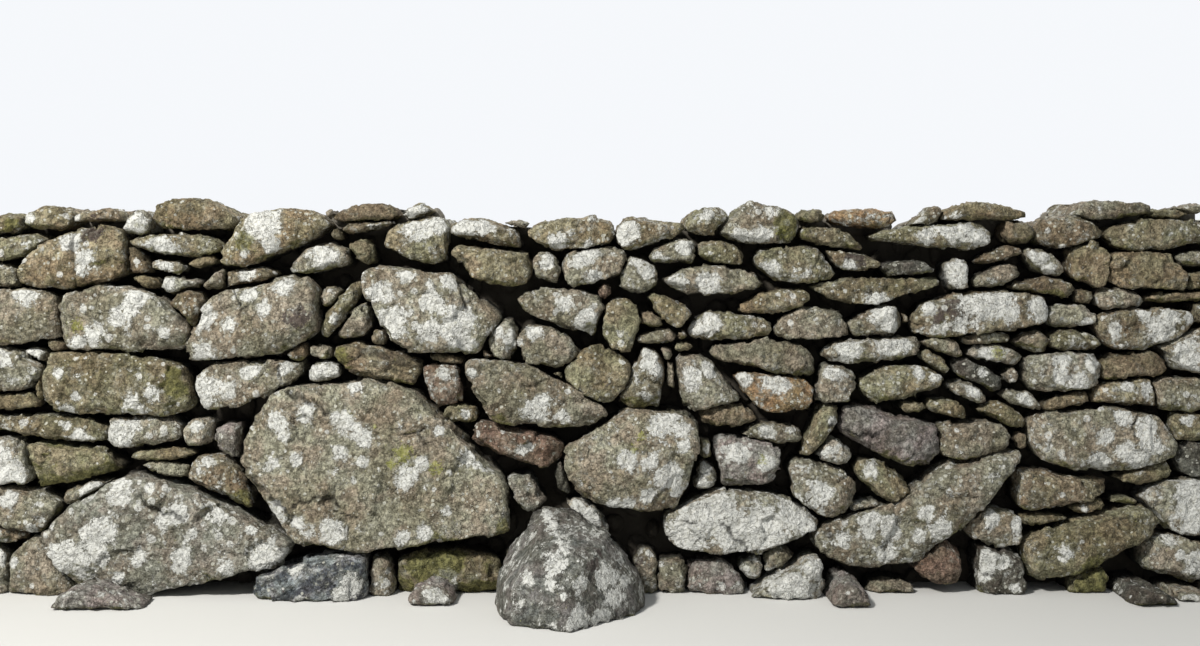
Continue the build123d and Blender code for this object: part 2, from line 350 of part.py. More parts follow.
# The top stones and what is wedged among them.
CREST = (
    ((23, 142.2), (24, 149), (31, 150.5), (37, 149.5), (37.4, 145.5), (33, 142.9), (28, 142.4)),
    ((38.2, 149.6), (45, 154), (52, 153), (56.6, 150.8), (57.6, 147), (54, 144.2), (45, 144.7), (39, 146)),
    ((58, 150), (61, 151), (72, 153), (76.6, 150.8), (77.2, 147.5), (58.6, 147.5)),
    ((15, 133.5), (15, 139.6), (37, 142.2), (43, 142.4), (47.6, 140), (38, 133.4), (31, 131.9)),
    ((78.2, 144.8), (79, 149), (85, 152), (88.8, 149.5), (89.3, 143.5), (86, 142.4), (79, 142.6)),
    ((90, 150), (92, 153.5), (96, 156), (103, 157), (110, 156.5), (118, 153.5), (123.6, 150),
     (124.2, 146.3), (120, 144.2), (93, 144.8), (90.4, 147)),
    ((80.4, 140), (86, 141.8), (105, 142.6), (112, 141.6), (117.6, 139), (119.2, 136.8), (115, 134.9),
     (107, 133.2), (90, 135.2), (81.6, 137.6)),
    ((118.2, 133), (120.2, 138), (127.4, 149), (130, 151), (138, 152.2), (152, 152.2), (160, 148),
     (161.5, 146), (157, 142.3), (145, 135.8), (136, 131.8), (127, 130), (120, 130.6)),
    ((160.2, 149), (159.6, 151), (161.8, 152.2), (162.4, 150.6)),
    ((162.6, 148.6), (164, 151.3), (174, 154.5), (182, 154.8), (187, 153), (189, 150.2), (186, 148.6),
     (166, 147.4)),
    ((165.6, 143.7), (168, 146.5), (185, 147.6), (186.2, 146.3), (170, 142.7)),
    ((161.8, 142), (163, 145), (164.6, 143.8), (166, 140.6), (163.4, 140.2)),
    ((169, 138), (172, 140.2), (176, 140.2), (178.4, 137.5), (180, 131), (176, 129.8), (172, 133)),
    ((189.8, 149.9), (196.5, 154.8), (200, 154), (202.3, 151.8), (200, 150.4), (194, 149)),
    ((183.7, 138), (185.4, 143.6), (190, 146.8), (195, 148.6), (201, 149.8), (206, 149.2), (209, 145.8),
     (208.2, 132), (202, 131), (193, 133)),
    ((210, 145), (215, 148.4), (222, 148.5), (235.8, 144.7), (238, 139.5), (237.8, 137), (222, 139.6),
     (213, 141.6), (210.3, 143)),
    ((231, 147), (235, 147.8), (240.6, 147), (239, 144.8)),
    ((240.9, 144), (245, 146.5), (252, 148), (267, 149.5), (271, 148.3), (275, 146), (276.2, 142),
     (273.8, 138.7), (262, 136.9), (252, 136.2), (242.6, 140.8)),
    ((277, 145), (279.5, 148), (282, 149.3), (295, 148), (302, 146.5), (303.3, 145), (299, 141.7),
     (284, 136.3), (280, 136.3), (277.2, 138.5)),
    ((304.3, 145.5), (305, 149), (308, 151.8), (313, 152.8), (318, 152.8), (321, 151), (322.4, 149.4),
     (315.6, 142.3), (312, 142.2), (305, 144.2)),
    ((330, 155.3), (345, 152), (348.6, 150), (349.4, 146), (349, 142.2), (346, 139.3), (328, 138.7),
     (318.4, 142.8), (320.8, 146.2)),
    ((350, 150.3), (352, 152), (358, 152.2), (361, 150), (360.3, 148), (355, 147), (350.4, 148)),
    ((350.2, 143), (352, 145.3), (358, 145.5), (364, 144.8), (370, 142.3), (374.3, 139), (376, 136.9),
     (374, 135.9), (366, 137), (350.4, 140.6)),
    ((362.4, 149.6), (366, 151.5), (374, 152.5), (382, 152.5), (387.5, 151.3), (388.6, 147.7),
     (386, 145.2), (378, 145.2), (368, 146.2), (364, 147.5)),
    ((378.2, 141.5), (383, 143.8), (390, 144.9), (420, 147.2), (425, 146.3), (426.8, 143.5),
     (425.8, 138.7), (421, 136.3), (410, 136.7), (380.4, 140.2)),
    ((395, 146), (403, 152.5), (406, 153.8), (408.4, 152.4), (405.4, 146.8)),
    ((406.8, 148.4), (409.4, 151.6), (415, 154), (421, 155.3), (429, 155), (441, 151.3), (441.4, 149.2),
     (437, 148.4)),
    ((433, 143), (434, 146.8), (438, 147.7), (442, 147.6), (444.1, 145), (444.1, 140), (442.6, 138.4),
     (438, 138.4), (434, 140)),
    ((445, 142), (446, 145.8), (449, 148), (453, 149.3), (459, 149.4), (464, 148.6), (469, 146.3),
     (472.6, 144), (472.2, 142), (460, 138), (453, 136.9), (449, 137.7), (446, 139.7)),
    ((461.4, 150.2), (464, 153.5), (467, 155.5), (473, 155.8), (491, 154.5), (492.2, 152.6),
     (491.2, 150.8), (485, 149.6), (472, 148.2)),
    ((493, 149.9), (493, 152), (499, 152.5), (505, 151.5), (506.6, 150), (503, 149.1), (496, 149)),
    ((502.4, 152.9), (512, 155), (514, 151.2), (508, 150.8)),
    ((474, 142.6), (475.4, 144.8), (488, 147.9), (500, 148), (516.5, 146.8), (516.5, 140), (512, 138.6),
     (490, 136.2), (482, 136.5), (476, 137.6)),
)

# Two low stones lie on the ground against the noses of the stones behind them.
LYING_STONES = (
    (((62, 0), (64, 4.5), (71, 8), (78, 8), (88, 5), (99, 0)), BOULDERS["long_foot_slab"]),
    (((196, 0), (198, 5), (204, 8), (210, 7), (214, 3), (214, 0)), BASE[2]),
)
lying_depth = 190

# The leaning boulder's plan, along the wall and out from the hearting's foot, with the place that it
# narrows towards. Each ring has a share of the height and of the plan.
LEANING_PLAN = (
    (231, 22), (229.5, 34), (232.5, 56), (238.5, 73), (246, 80), (268, 80), (279, 65), (286.5, 45), (287.5, 30),
    (286, 22),
)
LEANING_PEAK = (250, 27)
LEANING_RINGS = ((0, 1), (0.3, 0.94), (0.77, 0.6), (1, 0.16))

# Courses of the wall ends as bottom, top and length along the wall. Long and short ones take turns.
LEFT_COURSES = (
    (0, 18.5, 22), (18.5, 30.5, 14), (30.5, 43, 22), (43, 61.5, 14), (61.5, 71.2, 22), (71.2, 79, 14),
    (79, 99, 22), (99, 121, 14), (121, 131.2, 22), (131.2, 141, 14), (141, 149.5, 22),
)
RIGHT_COURSES = (
    (0, 22, 13.5), (22, 45.5, 22.5), (45.5, 59.4, 13.5), (59.4, 71.6, 22.5), (71.6, 85.6, 13.5),
    (85.6, 106, 22.5), (106, 115.6, 13.5), (115.6, 128.8, 22.5), (128.8, 136.6, 13.5),
    (136.6, 148.5, 22.5),
)

# The top of the hearting between the wall ends, just under the skyline of the top stones.
HEARTING_TOP = (
    (22, 147), (60, 149.5), (90, 149), (120, 150), (160, 150.5), (203, 150.5), (206, 146.5),
    (240, 145.5), (275, 143.5), (303, 144.5), (330, 149), (385, 148.5), (392, 143.8), (396, 147),
    (405, 150), (440, 149.5), (446, 146.5), (465, 151), (517.5, 151.3),
)

batter = math.atan((base_thickness - top_thickness) / 2 / wall_height)
hearting_half = base_thickness / 2 - face_depth


def along(u):
    """The X of a place u centimetres along the elevation."""
    return u * wall_length / elevation_length - wall_length / 2


def up(v):
    """The Z of a place v centimetres up the elevation."""
    return v * wall_height / elevation_height


def face_plane(side, depth):
    """The battered plane that lies depth out from the hearting's face."""
    return Plane(
        origin=(0, side * (hearting_half + depth), 0),
        x_dir=(1, 0, 0),
        z_dir=(0, -math.cos(batter), -side * math.sin(batter)),
    )


def nose_depth(outline):
    """How far a stone with this outline reaches out from the hearting."""
    width = along(max(u for u, v in outline)) - along(min(u for u, v in outline))
    height = up(max(v for u, v in outline)) - up(min(v for u, v in outline))
    return face_depth + min(nose_share * min(width, height), nose_limit)


def ring(outline, side, depth, share=1):
    """The outline's corners, depth out from the hearting, drawn in about its middle to a share of its size."""
    middle_u = sum(u for u, v in outline) / len(outline)
    middle_v = sum(v for u, v in outline) / len(outline)
    corners = []
    for u, v in outline:
        z = up(middle_v + (v - middle_v) * share)
        y = side * (hearting_half + depth - z * math.tan(batter))
        corners.append((along(middle_u + (u - middle_u) * share), y, z))
    return corners


def face_stone(outline, side, heel=0, shoulder=shoulder_depth, nose=None):
    """One boulder of a face, from its heel on the hearting to its nose."""
    nose = nose or nose_depth(outline)
    corners = ring(outline, side, heel) + ring(outline, side, shoulder)
    with BuildPart() as boulder:
        ConvexPolyhedron(corners + ring(outline, side, nose, nose_outline))
    return boulder.part


def face_stones(outlines, side):
    """Boulders of one band of a face, none touching the next."""
    return [face_stone(outline, side) for outline in outlines]


def heading(start, end):
    return math.degrees(math.atan2(end[1] - start[1], end[0] - start[0]))


def plainer(outline):
    """The outline without its soft corners."""
    kept = list(outline)
    place = 0
    while place < len(kept):
        before = kept[place - 1]
        after = kept[(place + 1) % len(kept)]
        turn = (heading(before, kept[place]) - heading(kept[place], after)) % 360
        if turn < soft_corner:
            kept.pop(place)
        else:
            place += 1
    return kept


def area(outline):
    """Square centimetres inside an outline."""
    total = 0
    for place, (u, v) in enumerate(outline):
        before_u, before_v = outline[place - 1]
        total += (u * before_v - before_u * v) / 2
    return abs(total)


def back_stones(outlines):
    """The back face repeats the front's stones, plainer and without the small pinnings."""
    return face_stones([plainer(outline) for outline in outlines if area(outline) > least_back_area], BACK)


def head_half(v):
    """Half the wall's thickness over its end stones, v centimetres up."""
    return base_thickness / 2 + head_proud - up(v) * math.tan(batter)


def head_block(end, course, first_y, last_y):
    """A stone of a wall end that fills its course between two heights, from one Y share to another."""
    bottom, top, length = course
    start = along(0) if end == LEFT else along(elevation_length - length)
    reach = along(length) - along(0)
    corners = [
        (first_y(bottom), up(bottom)),
        (last_y(bottom), up(bottom)),
        (last_y(top), up(top)),
        (first_y(top), up(top)),
    ]
    with BuildPart() as block:
        with BuildSketch(Plane.YZ.offset(start)):
            Polygon(*corners, align=None)
        extrude(amount=reach)
        outer = block.faces().sort_by(Axis.X)[0 if end == LEFT else -1]
        chamfer(outer.edges(), length=head_chamfer)
    return block.part


def through_stones(end, courses):
    """Stones that run through the whole thickness of the wall."""
    return [head_block(end, course, lambda v: -head_half(v), head_half) for course in courses]


def paired_stones(end, courses):
    """Long corner stones, two side by side in each course."""
    blocks = []
    for course in courses:
        blocks.append(head_block(end, course, lambda v: -head_half(v), lambda v: -head_joint / 2))
        blocks.append(head_block(end, course, lambda v: head_joint / 2, head_half))
    return blocks


# The hearting: rubble packed between the faces, here as one closed core. Its ends step in and out with
# the courses of the end stones, and its sides are the planes that the face stones bed against.
with BuildPart() as hearting:
    left_steps = [(length, v) for bottom, top, length in LEFT_COURSES for v in (bottom, top)]
    right_steps = [
        (elevation_length - length, v) for bottom, top, length in RIGHT_COURSES for v in (bottom, top)
    ]
    left_steps[-1] = HEARTING_TOP[0]
    right_steps[-1] = HEARTING_TOP[-1]
    elevation = left_steps + list(HEARTING_TOP[1:-1]) + right_steps[::-1]
    with BuildSketch(Plane.XZ):
        Polygon(*[(along(u), up(v)) for u, v in elevation], align=None)
    extrude(amount=hearting_half, both=True)
    split(bisect_by=face_plane(FRONT, 0), keep=Keep.BOTTOM)
    split(bisect_by=face_plane(BACK, 0), keep=Keep.TOP)
hearting.part.label = "hearting"
export_step(hearting.part, "parts/hearting.step")

# The large boulders of the front face, one node each.
for name, outline in BOULDERS.items():
    with BuildPart() as large_boulder:
        add(face_stone(outline, FRONT))
    large_boulder.part.label = name
    export_step(large_boulder.part, f"parts/{name}.step")

# Footing stones: some stand out from the foot of the wall, two lie on the ground against it.
with BuildPart() as front_footings:
    footings = []
    for outline, proud in FOOTINGS:
        footings.append(face_stone(outline, FRONT, 0, shoulder_depth + proud, face_depth + proud))
    for outline, behind in LYING_STONES:
        heel = nose_depth(behind)
        shoulder = heel + lying_depth * nose_outline
        footings.append(face_stone(outline, FRONT, heel, shoulder, heel + lying_depth))
    add(footings, mode=Mode.REPLACE)
front_footings.part.label = "front_footings"
export_step(front_footings.part, "parts/front_footings.step")

# The bands of the front face, from the ground to the top stones.
FRONT_BANDS = {
    "front_base_stones": BASE,
    "front_lower_stones": LOWER,
    "front_middle_stones": MIDDLE,
    "front_upper_stones": UPPER,
    "front_crest_stones": CREST,
}
for name, outlines in FRONT_BANDS.items():
    with BuildPart() as band:
        add(face_stones(outlines, FRONT), mode=Mode.REPLACE)
    band.part.label = name
    export_step(band.part, f"parts/{name}.step")

# The leaning boulder narrows upwards to a blunt peak and rests flat against the stone behind it.
with BuildPart() as leaning_boulder:
    peak_u, peak_out = LEANING_PEAK
    corners = []
    for height_share, plan_share in LEANING_RINGS:
        for u, out in LEANING_PLAN:
            x = along(peak_u + (u - peak_u) * plan_share)
            y = -hearting_half - 10 * (peak_out + (out - peak_out) * plan_share)
            corners.append((x, y, leaning_height * height_share))
    ConvexPolyhedron(corners)
    split(bisect_by=face_plane(FRONT, nose_depth(BASE[3])), keep=Keep.TOP)
leaning_boulder.part.label = "leaning_boulder"
export_step(leaning_boulder.part, "parts/leaning_boulder.step")

# The back face: the same stones seen through the wall, with those of the foot in line with the rest.
BACK_BANDS = {
    "back_large_boulders": list(BOULDERS.values()),
    "back_base_stones": [outline for outline, proud in FOOTINGS] + list(BASE),
    "back_lower_stones": LOWER,
    "back_middle_stones": MIDDLE,
    "back_upper_stones": UPPER,
    "back_crest_stones": CREST,
}
for name, outlines in BACK_BANDS.items():
    with BuildPart() as band:
        add(back_stones(outlines), mode=Mode.REPLACE)
    band.part.label = name
    export_step(band.part, f"parts/{name}.step")

# The wall ends: courses of squared stones, long pairs and single through stones in turn.
with BuildPart() as left_end_pairs:
    add(paired_stones(LEFT, LEFT_COURSES[::2]), mode=Mode.REPLACE)
left_end_pairs.part.label = "left_end_pairs"
export_step(left_end_pairs.part, "parts/left_end_pairs.step")

with BuildPart() as left_end_through_stones:
    add(through_stones(LEFT, LEFT_COURSES[1::2]), mode=Mode.REPLACE)
left_end_through_stones.part.label = "left_end_through_stones"
export_step(left_end_through_stones.part, "parts/left_end_through_stones.step")

with BuildPart() as right_end_through_stones:
    add(through_stones(RIGHT, RIGHT_COURSES[::2]), mode=Mode.REPLACE)
right_end_through_stones.part.label = "right_end_through_stones"
export_step(right_end_through_stones.part, "parts/right_end_through_stones.step")

with BuildPart() as right_end_pairs:
    add(paired_stones(RIGHT, RIGHT_COURSES[1::2]), mode=Mode.REPLACE)
right_end_pairs.part.label = "right_end_pairs"
export_step(right_end_pairs.part, "parts/right_end_pairs.step")
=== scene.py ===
import math
import random
from functools import partial

import bmesh
import bpy
import numpy as np
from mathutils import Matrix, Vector
from mathutils.kdtree import KDTree


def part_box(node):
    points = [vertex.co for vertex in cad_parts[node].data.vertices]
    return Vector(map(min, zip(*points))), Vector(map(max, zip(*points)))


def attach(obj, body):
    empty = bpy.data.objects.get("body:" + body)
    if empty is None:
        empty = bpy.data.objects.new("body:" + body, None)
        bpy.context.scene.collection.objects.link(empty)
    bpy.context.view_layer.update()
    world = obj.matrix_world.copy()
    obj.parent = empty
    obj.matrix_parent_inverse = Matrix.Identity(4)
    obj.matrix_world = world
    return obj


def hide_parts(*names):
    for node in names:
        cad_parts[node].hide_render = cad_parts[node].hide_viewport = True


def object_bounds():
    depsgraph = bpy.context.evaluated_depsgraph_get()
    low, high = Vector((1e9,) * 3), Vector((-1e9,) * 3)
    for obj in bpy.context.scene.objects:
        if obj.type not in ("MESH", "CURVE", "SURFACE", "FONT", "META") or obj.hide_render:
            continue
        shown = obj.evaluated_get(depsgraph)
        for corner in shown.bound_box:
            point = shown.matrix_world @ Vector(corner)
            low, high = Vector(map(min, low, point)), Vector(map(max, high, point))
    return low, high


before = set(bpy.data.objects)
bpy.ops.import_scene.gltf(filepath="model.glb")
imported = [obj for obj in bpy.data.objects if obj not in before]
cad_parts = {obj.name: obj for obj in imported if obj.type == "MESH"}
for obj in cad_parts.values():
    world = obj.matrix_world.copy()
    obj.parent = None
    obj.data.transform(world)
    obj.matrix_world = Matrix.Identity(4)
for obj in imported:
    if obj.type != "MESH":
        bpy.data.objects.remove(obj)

cad_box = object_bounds()

# The large boulders of the front face. Each is a granite boulder off the surface of the land, split and
# worn by weather, crusted with lichen and set with its long way into the wall. Its own weight holds it.
BOULDERS = {
    "great_boulder": "grey/spotted",
    "long_foot_slab": "ash/patched",
    "white_foot_boulder": "grey/white",
    "wedge_boulder": "grey/spotted",
    "brown_boulder": "olive/spotted",
    "shield_boulder": "grey/spotted",
    "lens_boulder": "grey/patched",
    "dark_boulder": "violet/bare",
    "right_foot_slab": "olive/spotted",
    "left_loaf": "buff/spotted",
}
BOULDER_SEED = 100
BOULDER_CELL = 0.008
BOULDER_CHIPS = 7
BOULDER_CHIP_DEPTH = 0.09
BOULDER_NOSE_POWER = 14

# The way a stone's nose looks, in degrees about Z from the front.
FRONT, LEFT, RIGHT = 0, -90, 90

# How finely a stone is meshed: the size of a cell of its nose, the fewest and the most columns, rows and
# rings, how many cells long a ring of its sides is, how fast the rings lengthen, and how wide the ring
# on its back is.
FINE = 0.009
COLUMNS, ROWS, RINGS = (8, 130), (6, 90), (5, 11)
RING_LENGTH = 1.6
RING_GROWTH = 1.4
BACK_SHARE = 0.5
SAME_CORNER = 1e-5


def block_grid(columns, rows, deep):
    """Corners and faces over a block two units wide: a fine grid on its nose, towards -Y, that runs on
    round its sides with steps that grow, and one face behind."""
    row = columns + 1
    corners = [(x, -1, z) for z in np.linspace(-1, 1, rows + 1) for x in np.linspace(-1, 1, row)]
    faces = []
    for j in range(rows):
        for i in range(columns):
            first = j * row + i
            faces.append((first, first + 1, first + row + 1, first + row))
    last = list(range(columns))
    last += [j * row + columns for j in range(rows)]
    last += [rows * row + columns - i for i in range(columns)]
    last += [(rows - j) * row for j in range(rows)]
    rim = np.array([corners[place] for place in last])
    rings = [(-1 + 2 * (k / deep) ** RING_GROWTH, 1) for k in range(1, deep + 1)] + [(1, BACK_SHARE)]
    for y, share in rings:
        start = len(corners)
        corners += [(x * share, y, z * share) for x, _, z in rim]
        ring = list(range(start, start + len(rim)))
        for i in range(len(rim)):
            after = (i + 1) % len(rim)
            faces.append((last[after], last[i], ring[i], ring[after]))
        last = ring
    faces.append(tuple(last[::-1]))
    return np.array(corners, dtype=float), faces


def turned(corners, degrees):
    """Corners turned about Z by a whole number of right angles."""
    c = round(math.cos(math.radians(degrees)))
    s = round(math.sin(math.radians(degrees)))
    x, y, z = corners.T
    return np.column_stack((x * c - y * s, x * s + y * c, z))


def merged_copy(node):
    """A copy of a CAD node's mesh with its doubled corners merged."""
    mesh = bmesh.new()
    mesh.from_mesh(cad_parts[node].data)
    bmesh.ops.remove_doubles(mesh, verts=mesh.verts, dist=SAME_CORNER)
    return mesh


def stones_of(node):
    """The corners and the face planes of each stone in a CAD node, from left to right."""
    mesh = merged_copy(node)
    mesh.normal_update()
    seen = set()
    stones = []
    for vert in mesh.verts:
        if vert.index in seen:
            continue
        group, wait = [], [vert]
        seen.add(vert.index)
        while wait:
            here = wait.pop()
            group.append(here)
            for edge in here.link_edges:
                other = edge.other_vert(here)
                if other.index not in seen:
                    seen.add(other.index)
                    wait.append(other)
        planes = {tuple(round(part, 2) for part in face.normal) for v in group for face in v.link_faces}
        stones.append((np.array([v.co[:] for v in group]), np.array(sorted(planes))))
    mesh.free()

    def place_along(stone):
        corners = stone[0]
        return round(corners[:, 0].mean(), 3), round(corners[:, 2].mean(), 3)

    return sorted(stones, key=place_along)


def power_sum(levels, power):
    return (levels ** power).sum(axis=1) ** (1 / power)


def held(value, limits):
    return max(limits[0], min(limits[1], round(value)))


# How crisp the arrises are round a stone's outline and between its chips. A plane of the hull that looks
# less than the first share along the nose belongs to the outline, and one past the second to the nose.
# The planes in between are its shoulders, and the nose rounds those off.
OUTLINE_POWER = 90
OUTLINE_FACING, NOSE_FACING = 0.3, 0.9
CHIP_TURN = 0.62
THINNEST_CHIP = 0.98


def weather_stone(corners, planes, toward, chance, cell, facets, chip, nose_power, breaks=(), turn=CHIP_TURN):
    """A stone as wide, deep and high as its hull, with worn arrises. Its surface is the level where its
    outline, the chips knocked off its nose and the nose itself add up under a high power. Without a nose
    power it keeps all the planes of its hull. A break is a known flat face: its direction and how far
    out it lies, as a share of the hull. Turn is how far a chip's direction keeps to the nose's."""
    middle = (corners.max(axis=0) + corners.min(axis=0)) / 2
    half = (corners.max(axis=0) - corners.min(axis=0)) / 2
    scaled = (corners - middle) / half
    nose = turned(np.array([[0.0, -1.0, 0.0]]), toward)[0]
    outline, front = [], []
    for plane in planes:
        n = plane * half
        rule = n / (scaled @ n).max()
        facing = abs(plane @ nose)
        if not nose_power or facing < OUTLINE_FACING:
            outline.append(rule)
        elif facing > NOSE_FACING:
            front.append(rule)
    for direction, reach in breaks:
        n = np.array(direction) / np.linalg.norm(direction)
        outline.append(n / ((scaled @ n).max() * reach))
    while facets:
        n = np.array([chance.gauss(0, 1) for _ in range(3)])
        n /= np.linalg.norm(n)
        if n @ nose < turn:
            continue
        outline.append(n / ((scaled @ n).max() * chance.uniform(1 - chip, THINNEST_CHIP)))
        facets -= 1
    wide, long = (half[1], half[0]) if toward in (LEFT, RIGHT) else (half[0], half[1])
    columns, rows = held(2 * wide / cell, COLUMNS), held(2 * half[2] / cell, ROWS)
    grid, faces = block_grid(columns, rows, held(long / cell / RING_LENGTH, RINGS))
    grid = turned(grid, toward)
    size = power_sum(np.clip(grid @ np.array(outline).T, 0, None), OUTLINE_POWER)
    if nose_power:
        levels = [size] + [np.clip(grid @ rule, 0, None) for rule in front]
        size = power_sum(np.column_stack(levels), nose_power)
    points = grid / size[:, None]
    points /= np.abs(points).max(axis=0)
    return middle + points * half, faces, 2 * half.min()


def set_attribute(mesh, name, kind, values):
    attribute = mesh.attributes.new(name, kind, "POINT")
    field = {"FLOAT": "value", "FLOAT_VECTOR": "vector", "FLOAT_COLOR": "color"}[kind]
    attribute.data.foreach_set(field, np.asarray(values, dtype=np.float32).ravel())


def add_node(tree, kind, inputs=None, **settings):
    """A node with its settings, and inputs given as values or as another node's output."""
    made = tree.nodes.new(kind)
    for name, value in settings.items():
        setattr(made, name, value)
    for name, value in (inputs or {}).items():
        if isinstance(value, bpy.types.NodeSocket):
            tree.links.new(value, made.inputs[name])
        else:
            made.inputs[name].default_value = value
    return made


def add_maths(tree, operation, a, b=0.0):
    return add_node(tree, "ShaderNodeMath", {0: a, 1: b}, operation=operation).outputs[0]


def add_vector(tree, operation, a, b=(0, 0, 0)):
    """Maths on vectors. For SCALE, b is the number to scale by."""
    inputs = {0: a, "Scale" if operation == "SCALE" else 1: b}
    made = add_node(tree, "ShaderNodeVectorMath", inputs, operation=operation)
    return made.outputs["Value" if operation in ("DOT_PRODUCT", "LENGTH") else "Vector"]


def add_ramp(tree, value, low, high, to_low=0.0, to_high=1.0, shape="LINEAR"):
    """What runs from to_low to to_high as the value runs from low to high, and stays level beyond."""
    span = {"Value": value, "From Min": low, "From Max": high, "To Min": to_low, "To Max": to_high}
    return add_node(tree, "ShaderNodeMapRange", span, interpolation_type=shape).outputs[0]


def add_cloud(tree, at, scale, detail, roughness=0.5, output="Fac"):
    inputs = {"Vector": at, "Scale": scale, "Detail": detail, "Roughness": roughness}
    return add_node(tree, "ShaderNodeTexNoise", inputs).outputs[output]


def add_blend(tree, share, a, b, how="MIX"):
    """Colour a, over to b by the share. Each is given as its channels or as another node's output."""
    a, b = ((*colour, 1) if isinstance(colour, tuple) else colour for colour in (a, b))
    made = add_node(tree, "ShaderNodeMix", {0: share, 6: a, 7: b}, data_type="RGBA", blend_type=how)
    return made.outputs[2]


def split(tree, value, kind="XYZ"):
    return add_node(tree, f"ShaderNodeSeparate{kind}", {0: value}).outputs


def bare_material(name):
    """A material and its tree, still without nodes."""
    material = bpy.data.materials.new(name)
    material.use_nodes = True
    material.node_tree.nodes.clear()
    return material, material.node_tree


# What the granite's own colour is multiplied by, at the two ends of each of its patterns.
BROAD_TINTS = (0.84, 0.80, 0.74), (1.15, 1.16, 1.17)
HUE_TINTS = (1.06, 0.985, 0.95), (0.95, 1.0, 0.94)
CRYSTAL_TINTS = (0.56, 0.55, 0.52), (1.32, 1.32, 1.31)
LAYER_TINTS = (0.40, 0.42, 0.47), (1.7, 1.72, 1.72)
PALE_GRAIN = (1.46, 1.45, 1.43)
DARK_GRAIN = (0.50, 0.48, 0.45)

# The colours of what grows on it and stains it, from the darkest to the lightest of each.
CRUST = (0.40, 0.40, 0.365), (0.575, 0.58, 0.55)
FILM = (0.15, 0.15, 0.12), (0.36, 0.36, 0.31)
MOSS = (0.07, 0.07, 0.022), (0.17, 0.165, 0.05)
PALE_SPOT = (0.47, 0.47, 0.41)
BLACK_SPOT = (0.05, 0.047, 0.04)
YELLOW_SPOT = (0.24, 0.25, 0.05)
STAIN = (0.06, 0.045, 0.042)

# How strongly a patch that is given by its place brings on what grows there.
WHITE_PULL, YELLOW_PULL, DARK_PULL, MOSS_PULL = 0.31, 0.2, 0.34, 0.36


